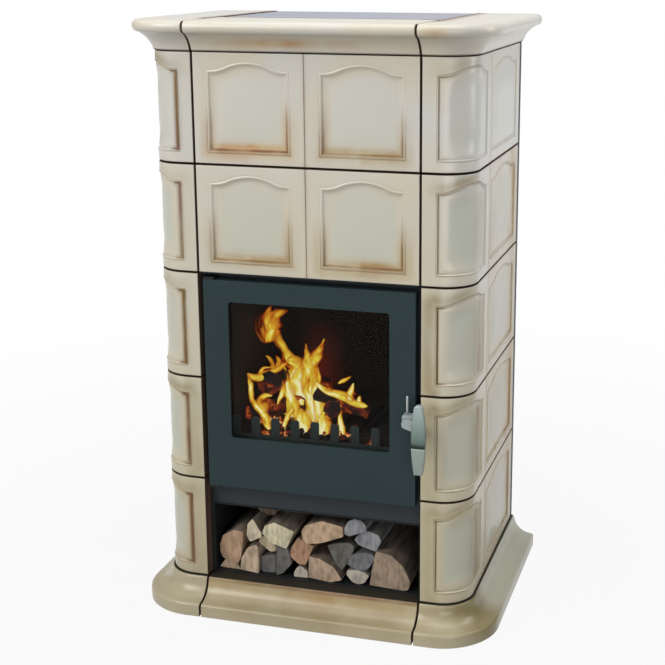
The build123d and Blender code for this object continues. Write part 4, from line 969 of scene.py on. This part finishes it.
grown = bmesh.ops.extrude_face_region(guard, geom=feet)["geom"]
tops = [g for g in grown if isinstance(g, bmesh.types.BMVert)]
bmesh.ops.translate(guard, vec=(0, 0, TOOTH_TALL), verts=tops)
bmesh.ops.delete(guard, geom=feet, context="FACES_ONLY")
corners = [e for e in guard.edges if along_y(e) and min(v.co.z for v in e.verts) > GUARD_HIGH.z - 0.5 * MM]
bmesh.ops.bevel(guard, geom=corners, offset=TOOTH_ROUND, segments=5, profile=0.5, affect="EDGES", material=-1)
print("teeth", len(feet), "rounded edges", len(corners))
show(guard, "guard_with_round_teeth", "stove", GUARD_STEEL, ["log_guard"])
finish_nodes("handle_grip_upper", HANDLE_STEEL, 1.6 * MM)
finish_nodes("handle_grip_lower", HANDLE_STEEL, 0.5 * MM)
finish_nodes("handle_arm handle_block", PLAIN_SATIN, 0.8 * MM)
finish_nodes("handle_rod", BRIGHT, 0.5 * MM)
finish_nodes("handle_band", BAND_PAINT)

# %% [markdown]
# ## Window glass
# Stove glass is a clear, faintly warm ceramic sheet. It is 4 mm thick, so what it does to the eye is a slight
# darkening and a mirror at grazing angles. A thin-looking sheet that lets most light through shows both.

# %% Window glass
GLASS, _, _ = new_material("clear_stove_glass", Base_Color="#0B0908", Roughness=0.03, IOR=1.45,
                           Specular_IOR_Level=0.25, Alpha=0.18)
finish_nodes("door_glass", GLASS)

# %% [markdown]
# ## Charred logs and embers
# The fire burns on a few split logs that are already black. A rough cylinder, pushed about by noise, makes a
# log, and its char glows where noise opens thin cracks. Lumps of ember lie on the hearth behind the guard.

# %% Char material
def glowing_char(name, glow):
    """Charcoal is black and crazed; heat shows in the cracks and in patches."""
    material, tree, shader = new_material(name, Roughness=0.95, Emission_Strength=1.0)
    grain = patches(tree, 0.010)
    place = add(tree, "TexCoord").outputs["Object"]
    cells = add(tree, "TexVoronoi", {"Vector": place, "Scale": 110.0}, feature="DISTANCE_TO_EDGE")
    cracks = add(tree, "ValToRGB", (cells.outputs["Distance"],), ((0.02, 1.0), (0.20, 0.15)))
    hot = add(tree, "ValToRGB", (patches(tree, 0.03, offset=(0.3, 0.1, 0.2)),), ((0.50, 0.0), (0.66, 1.0)))
    open_heat = add(tree, "Math", (cracks, hot), operation="MULTIPLY")
    heat = add(tree, "Math", (open_heat, glow), operation="MULTIPLY", use_clamp=True)
    shine = add(tree, "ValToRGB", (heat,), ((0.0, "#080202"), (0.25, "#6A1608"), (0.6, "#E06A18"),
                                            (1.0, "#FFD98A")))
    crazed = add(tree, "Bump", {"Height": grain, "Distance": 0.002, "Strength": 0.8})
    fill(shader, {"Base Color": coats(tree, "#0D0A09", (grain, "#33241E")), "Emission Color": shine,
                  "Normal": crazed})
    return material


CHAR = glowing_char("charred_wood", 0.65)
EMBER = glowing_char("glowing_embers", 1.7)


# %% Charred logs
def rough_log(bm, start, end, radius):
    """A round log from start to end, in metres."""
    start, end = Vector(start), Vector(end)
    length = (end - start).length
    turn = Matrix.Translation((start + end) / 2) @ (end - start).to_track_quat("Z", "Y").to_matrix().to_4x4()
    verts = bmesh.ops.create_cone(bm, cap_ends=True, segments=18, radius1=radius, radius2=radius * 0.93,
                                  depth=length, matrix=turn)["verts"]
    edges = list(dict.fromkeys(e for v in verts for e in v.link_edges if e.calc_length() > length / 2))
    bmesh.ops.subdivide_edges(bm, edges=edges, cuts=int(length / (8 * MM)))


def at(x, depth, z):
    """A place in the firebox, in millimetres across, behind the tile faces, and up."""
    return (x * MM, FRONT + depth * MM, z * MM)


burning = bmesh.new()
for start, end, radius in (
        (at(-107, 76, 437), at(-122, 215, 420), 22), (at(-150, 72, 380), at(-95, 150, 372), 18),
        (at(-32, 134, 404), at(74, 130, 379), 14), (at(16, 86, 392), at(24, 200, 376), 16),
        (at(-75, 150, 372), at(-70, 300, 366), 20)):
    rough_log(burning, start, end, radius * MM)
burning.normal_update()
for v in burning.verts:
    v.co += v.normal * (5 * MM * noise.noise(v.co * 45) + 1.5 * MM * noise.noise(v.co * 140))
charred = show(burning, "charred_logs", "stove", CHAR)
print("charred log faces", len(charred.data.polygons))

# %% Embers
embers = bmesh.new()
for row in range(4):
    for i in range(20):
        x = -140 + i * 14.6 + 5 * noise.noise(Vector((i * 1.7, row * 2.3, 0)))
        if x > 60 and row > 0:
            continue
        depth = 52 + row * 22 + 8 * noise.noise(Vector((i * 0.9, row, 4)))
        size = (6.0 + 4.5 * abs(noise.noise(Vector((i * 2.1, row * 1.3, 9))))) * MM
        lump = bmesh.ops.create_icosphere(embers, subdivisions=2, radius=size)["verts"]
        for v in lump:
            v.co *= 1 + 0.45 * noise.noise(v.co * 160 + Vector((i, row, 0)))
        bmesh.ops.translate(embers, verts=lump, vec=at(x, depth, 344 + size / MM * 0.8))
bed = show(embers, "embers", "stove", EMBER)
print("ember faces", len(bed.data.polygons))

# %% [markdown]
# ## Flames
# A flame is a sheet of glowing soot: yellow where it is thick, orange where it thins, and clear at its torn
# edges. Each tongue is a closed tube along a drawn line, with a flat oval section that swells and narrows. Its
# vertices know how near the middle and the tip they are, and the material turns that, with streaks of noise,
# into heat. Heat gives both colour and clearness.

# %% Flame material
def burning_gas(name):
    """Soot that glows: heat is most in the middle and low down, and streaks of noise run along the flow."""
    material, tree, shader = new_material(name, Base_Color="#000000", Roughness=1.0, Specular_IOR_Level=0.0,
                                          Emission_Strength=1.15)
    core, tip = (add(tree, "Attribute", attribute_name=layer).outputs["Fac"] for layer in ("core", "tip"))
    flow = add(tree, "Attribute", attribute_name="flow").outputs["Vector"]
    streak = add(tree, "TexNoise", {"Vector": flow, "Scale": 95.0, "Detail": 2.0}).outputs["Fac"]
    torn = add(tree, "MapRange", (streak, 0.3, 0.7, 0.26, 1.20))
    place = add(tree, "TexCoord").outputs["Object"]
    height = add(tree, "SeparateXYZ", (place,)).outputs["Z"]
    near_bed = add(tree, "MapRange", (height, 0.36, 0.56, 1.46, 0.70))
    heat = add(tree, "Math", (core, torn), operation="MULTIPLY")
    heat = add(tree, "Math", (heat, near_bed), operation="MULTIPLY")
    cooled = add(tree, "Math", (tip, 0.30), operation="MULTIPLY")
    heat = add(tree, "Math", (heat, cooled), operation="SUBTRACT", use_clamp=True)
    glow = add(tree, "ValToRGB", (heat,), (
        (0.06, "#8A1E06"), (0.20, "#C4500C"), (0.34, "#D88E1C"), (0.50, "#DFB834"), (0.76, "#ECD94E"),
        (0.98, "#FCF6BC")))
    clear = add(tree, "ValToRGB", (heat,), ((0.03, 0.0), (0.20, 0.32), (0.42, 0.76), (0.62, 0.97)))
    fill(shader, {"Emission Color": glow, "Alpha": clear})
    return material


# %% Flame tongues
# Across, behind the tile faces, up, and half width, in millimetres, from root to tip.
TONGUES = [
    [(-84, 175, 335, 14), (-92, 173, 369, 14), (-96, 171, 397, 12), (-92, 169, 423, 12), (-79, 167, 443, 10),
     (-96, 165, 460, 10), (-104, 162, 478, 7), (-118, 160, 502, 8), (-134, 158, 517, 21), (-130, 156, 537, 21),
     (-114, 154, 551, 12), (-100, 152, 558, 5), (-91, 150, 563, 1)],
    [(-126, 150, 524, 11), (-129, 147, 547, 12), (-129, 143, 560, 7), (-121, 140, 574, 1)],
    [(-119, 150, 525, 9), (-129, 145, 508, 10), (-136, 140, 496, 1)],
    [(-56, 160, 338, 23), (-62, 160, 367, 19), (-71, 160, 398, 17), (-70, 160, 425, 14), (-67, 160, 446, 8),
     (-64, 160, 457, 2)],
    [(-36, 150, 348, 14), (-43, 152, 385, 12), (-50, 154, 415, 13), (-53, 156, 446, 12), (-58, 158, 470, 7),
     (-60, 160, 496, 1)],
    [(-52, 160, 431, 9), (-49, 161, 454, 10), (-39, 162, 476, 8), (-30, 164, 490, 4), (-24, 165, 507, 1)],
    [(-21, 140, 330, 10), (-23, 142, 363, 11), (-29, 144, 389, 9), (-36, 146, 410, 6), (-30, 148, 430, 4),
     (-33, 150, 452, 1)],
    [(-77, 130, 358, 10), (-82, 134, 385, 9), (-90, 138, 412, 7), (-97, 142, 433, 6), (-101, 146, 447, 3),
     (-105, 150, 455, 1)],
    [(-100, 58, 366, 4), (-110, 59, 379, 5), (-122, 59, 390, 5), (-135, 60, 409, 4), (-137, 61, 428, 4),
     (-138, 61, 443, 4), (-142, 62, 459, 2)],
    [(-143, 62, 457, 2), (-131, 70, 449, 5), (-119, 79, 449, 6), (-108, 87, 457, 5), (-96, 95, 463, 6),
     (-85, 103, 472, 7), (-79, 112, 479, 4), (-73, 120, 479, 1.3)],
    [(-110, 110, 451, 4), (-111, 112, 465, 4), (-118, 113, 476, 3), (-126, 115, 479, 1)],
    [(-102, 115, 454, 4), (-100, 117, 467, 4), (-104, 118, 477, 3), (-107, 120, 481, 1)],
    [(-126, 85, 447, 5), (-125, 87, 456, 4), (-120, 88, 463, 3), (-107, 90, 465, 1)],
    [(-91, 80, 396, 1), (-84, 82, 412, 4), (-80, 83, 426, 4), (-79, 84, 439, 4), (-84, 86, 442, 1.3)],
    [(-103, 60, 361, 4), (-109, 61, 376, 7), (-113, 62, 392, 8), (-120, 64, 406, 6), (-111, 65, 416, 5),
     (-96, 66, 417, 1.1)],
    [(-99, 56, 349, 2), (-103, 57, 362, 5), (-108, 59, 374, 6), (-111, 60, 382, 1.3)],
    [(-70, 70, 339, 1), (-76, 75, 354, 3), (-72, 80, 368, 4), (-68, 85, 380, 3), (-64, 90, 386, 1)],
    [(-35, 70, 345, 6), (-37, 77, 357, 10), (-43, 83, 374, 10), (-48, 90, 387, 3)],
    [(4, 70, 340, 7), (3, 77, 354, 10), (1, 83, 374, 9), (2, 90, 392, 2)],
    [(42, 70, 338, 5), (38, 78, 353, 6), (33, 85, 372, 4), (30, 92, 387, 3), (30, 100, 399, 1)],
    [(-27, 120, 432, 2), (-16, 120, 423, 4), (-1, 120, 416, 5), (15, 120, 413, 6), (35, 120, 406, 7),
     (54, 120, 397, 6), (70, 120, 394, 4), (76, 120, 394, 1)],
    [(42, 120, 402, 5), (42, 120, 418, 5), (46, 120, 430, 3), (49, 120, 437, 1)],
    [(19, 120, 434, 1.1), (28, 120, 440, 3), (37, 120, 446, 2), (43, 120, 450, 1)],
    [(59, 120, 398, 4), (59, 120, 407, 3), (62, 120, 413, 1)],
    [(6, 120, 412, 4), (3, 120, 419, 3), (-2, 120, 424, 1)],
]
FLAME_STEPS, WAVER, FLATNESS = 4, 0.22, 0.34


def between(a, b, c, d, t):
    """A smooth curve through b and c."""
    return tuple(0.5 * (2 * q + (r - p) * t + (2 * p - 5 * q + 4 * r - s) * t * t
                        + (3 * q - p - 3 * r + s) * t**3) for p, q, r, s in zip(a, b, c, d))


def tongue(bm, marks, core, tip, flow, seed):
    """One flame: oval rings along the drawn line, bridged and closed at both ends."""
    line = []
    for i in range(len(marks) - 1):
        around = [marks[max(0, min(len(marks) - 1, j))] for j in (i - 1, i, i + 1, i + 2)]
        line += [between(*around, t / FLAME_STEPS) for t in range(FLAME_STEPS)]
    line.append(marks[-1])
    rings, gone = [], 0.0
    for i, (x, depth, z, half) in enumerate(line):
        before, after = line[max(0, i - 1)], line[min(len(line) - 1, i + 1)]
        along = Vector((after[0] - before[0], after[1] - before[1], after[2] - before[2])).normalized()
        side = along.cross(Vector((0, 1, 0))).normalized()
        deep = side.cross(along)
        gone += math.dist(before[:3], (x, depth, z)) * MM
        waver = noise.noise(Vector((z * 0.07, seed, 0)))
        half = max(half, 0.6) * (1.55 + 0.015 * min(half, 20)) * (1 + WAVER * waver)
        shift = WAVER * half * noise.noise(Vector((z * 0.09, seed, 5)))
        made = bmesh.ops.create_circle(bm, segments=14, radius=1.0)["verts"]
        for v in made:
            u, w = v.co.x, v.co.y
            v[core] = 1 - abs(u) ** 1.6
            v[tip] = i / (len(line) - 1)
            v[flow] = (u * half * MM, seed, gone * 0.35)
            offset = side * (u * half + shift) + deep * (w * half * FLATNESS)
            v.co = Vector(at(x, depth, z)) + offset * MM
        rings.append(list(dict.fromkeys(e for v in made for e in v.link_edges)))
    for lower, upper in zip(rings, rings[1:]):
        bmesh.ops.bridge_loops(bm, edges=lower + upper)
    for end in (rings[0], rings[-1]):
        bmesh.ops.contextual_create(bm, geom=end)


flames = bmesh.new()
core_layer, tip_layer = flames.verts.layers.float.new("core"), flames.verts.layers.float.new("tip")
flow_layer = flames.verts.layers.float_vector.new("flow")
for number, marks in enumerate(TONGUES):
    tongue(flames, marks, core_layer, tip_layer, flow_layer, number * 2.3)
bmesh.ops.recalc_face_normals(flames, faces=flames.faces)
fire = show(flames, "flames", "stove", burning_gas("burning_gas"), smooth=180)
print("flame faces", len(fire.data.polygons))

# %% [markdown]
# ## Firewood
# The store is full of split beech and birch. Each measured log is copied, its edges are worn round, it is cut
# into short lengths, and noise makes it uneven. Ends show pale end grain, upper sides show bark or weathered
# wood, and every log has its own colour, as in any real stack.

# %% Wood materials
def wood(name, layer, darkest, rough):
    """Wood in the colour that the mesh carries, with dark fibres and worn patches."""
    material, tree, shader = new_material(name, Roughness=rough)
    fibre = patches(tree, 0.008, 3.0, (1.0, 0.12, 0.4))
    own = add(tree, "Attribute", attribute_name=layer).outputs["Color"]
    dark_fibre = add(tree, "ValToRGB", (fibre,), ((0.30, darkest), (0.60, 1.12)))
    worn = add(tree, "ValToRGB", (patches(tree, 0.035, 2.0),), ((0.30, 0.82), (0.62, 1.12)))
    ridges = add(tree, "Bump", {"Height": fibre, "Distance": 0.0012, "Strength": 0.8})
    fill(shader, {"Base Color": coats(tree, own, (1.0, dark_fibre), (1.0, worn), blend_type="MULTIPLY"),
                  "Normal": ridges})
    return material


END_GRAIN = wood("split_log_ends", "tint", 0.62, 0.85)
BARK = wood("weathered_bark", "bark", 0.40, 0.95)

# %% Logs
# Across, up, colour of the end and colour of the upper side; each log takes the nearest one's.
LOG_COLOURS = [
    (-180, 72, "#BCA58C", "#786C60"), (-139, 92, "#B5A08A", "#70655A"), (-103, 88, "#5C5A58", "#504B47"),
    (-70, 90, "#62605C", "#524E49"), (-33, 80, "#BDB4A6", "#787066"), (15, 92, "#AB947E", "#6A5C4E"),
    (80, 82, "#AFA99C", "#74706A"), (145, 100, "#93816F", "#6D6055"), (-176, 120, "#B3947A", "#857B70"),
    (-103, 118, "#B5A88E", "#6F675C"), (-30, 118, "#A27F66", "#766150"), (85, 112, "#6A6C6F", "#5A5A59"),
    (45, 128, "#615F5A", "#57524B"), (-128, 153, "#C6BAA4", "#80776B"), (-76, 152, "#C4BCA0", "#746C60"),
    (12, 162, "#B89E84", "#6B6056"), (100, 152, "#898B90", "#666462"), (78, 176, "#8B8D92", "#6E6C6A"),
    (-114, 180, "#7E6C5D", "#786C60")]
LOG_CUTS = 26

logs = measured_copy("firewood")
bmesh.ops.bevel(logs, geom=[e for e in logs.edges if along_y(e)], offset=2.2 * MM, segments=2, profile=0.5,
                affect="EDGES", material=-1, clamp_overlap=True)
low, high = min(v.co.y for v in logs.verts), max(v.co.y for v in logs.verts)
for i in range(1, LOG_CUTS):
    cut_across(logs, (0, low + (high - low) * i / LOG_CUTS, 0), (0, 1, 0))
tint, bark = (logs.verts.layers.float_color.new(name) for name in ("tint", "bark"))
found, count = set(), 0
for first in logs.verts:
    if first in found:
        continue
    found.add(first)
    island = [first]
    for v in island:
        for e in v.link_edges:
            other = e.other_vert(v)
            if other not in found:
                found.add(other)
                island.append(other)
    x = sum(v.co.x for v in island) / len(island) / MM
    z = sum(v.co.z for v in island) / len(island) / MM
    place = min(LOG_COLOURS, key=lambda entry: math.hypot(entry[0] - x, entry[1] - z))
    for v in island:
        v[tint], v[bark] = srgb(place[2]), srgb(place[3])
        wave = v.co * 22 + Vector((count * 3.1, 0, 0))
        v.co.x += 1.6 * MM * noise.noise(wave)
        v.co.z += 1.3 * MM * noise.noise(wave + Vector((0, 7, 0)))
        v.co.y += 1.5 * MM * noise.noise(v.co * 60)
    count += 1
logs.normal_update()
for face in logs.faces:
    face.material_index = 0 if abs(face.normal.y) > 0.7 or face.normal.z < 0.25 else 1
stack = show(logs, "split_logs", "stove", END_GRAIN, ["firewood"], 35)
stack.data.materials.append(BARK)
print(count, "logs", len(stack.data.polygons), "faces")
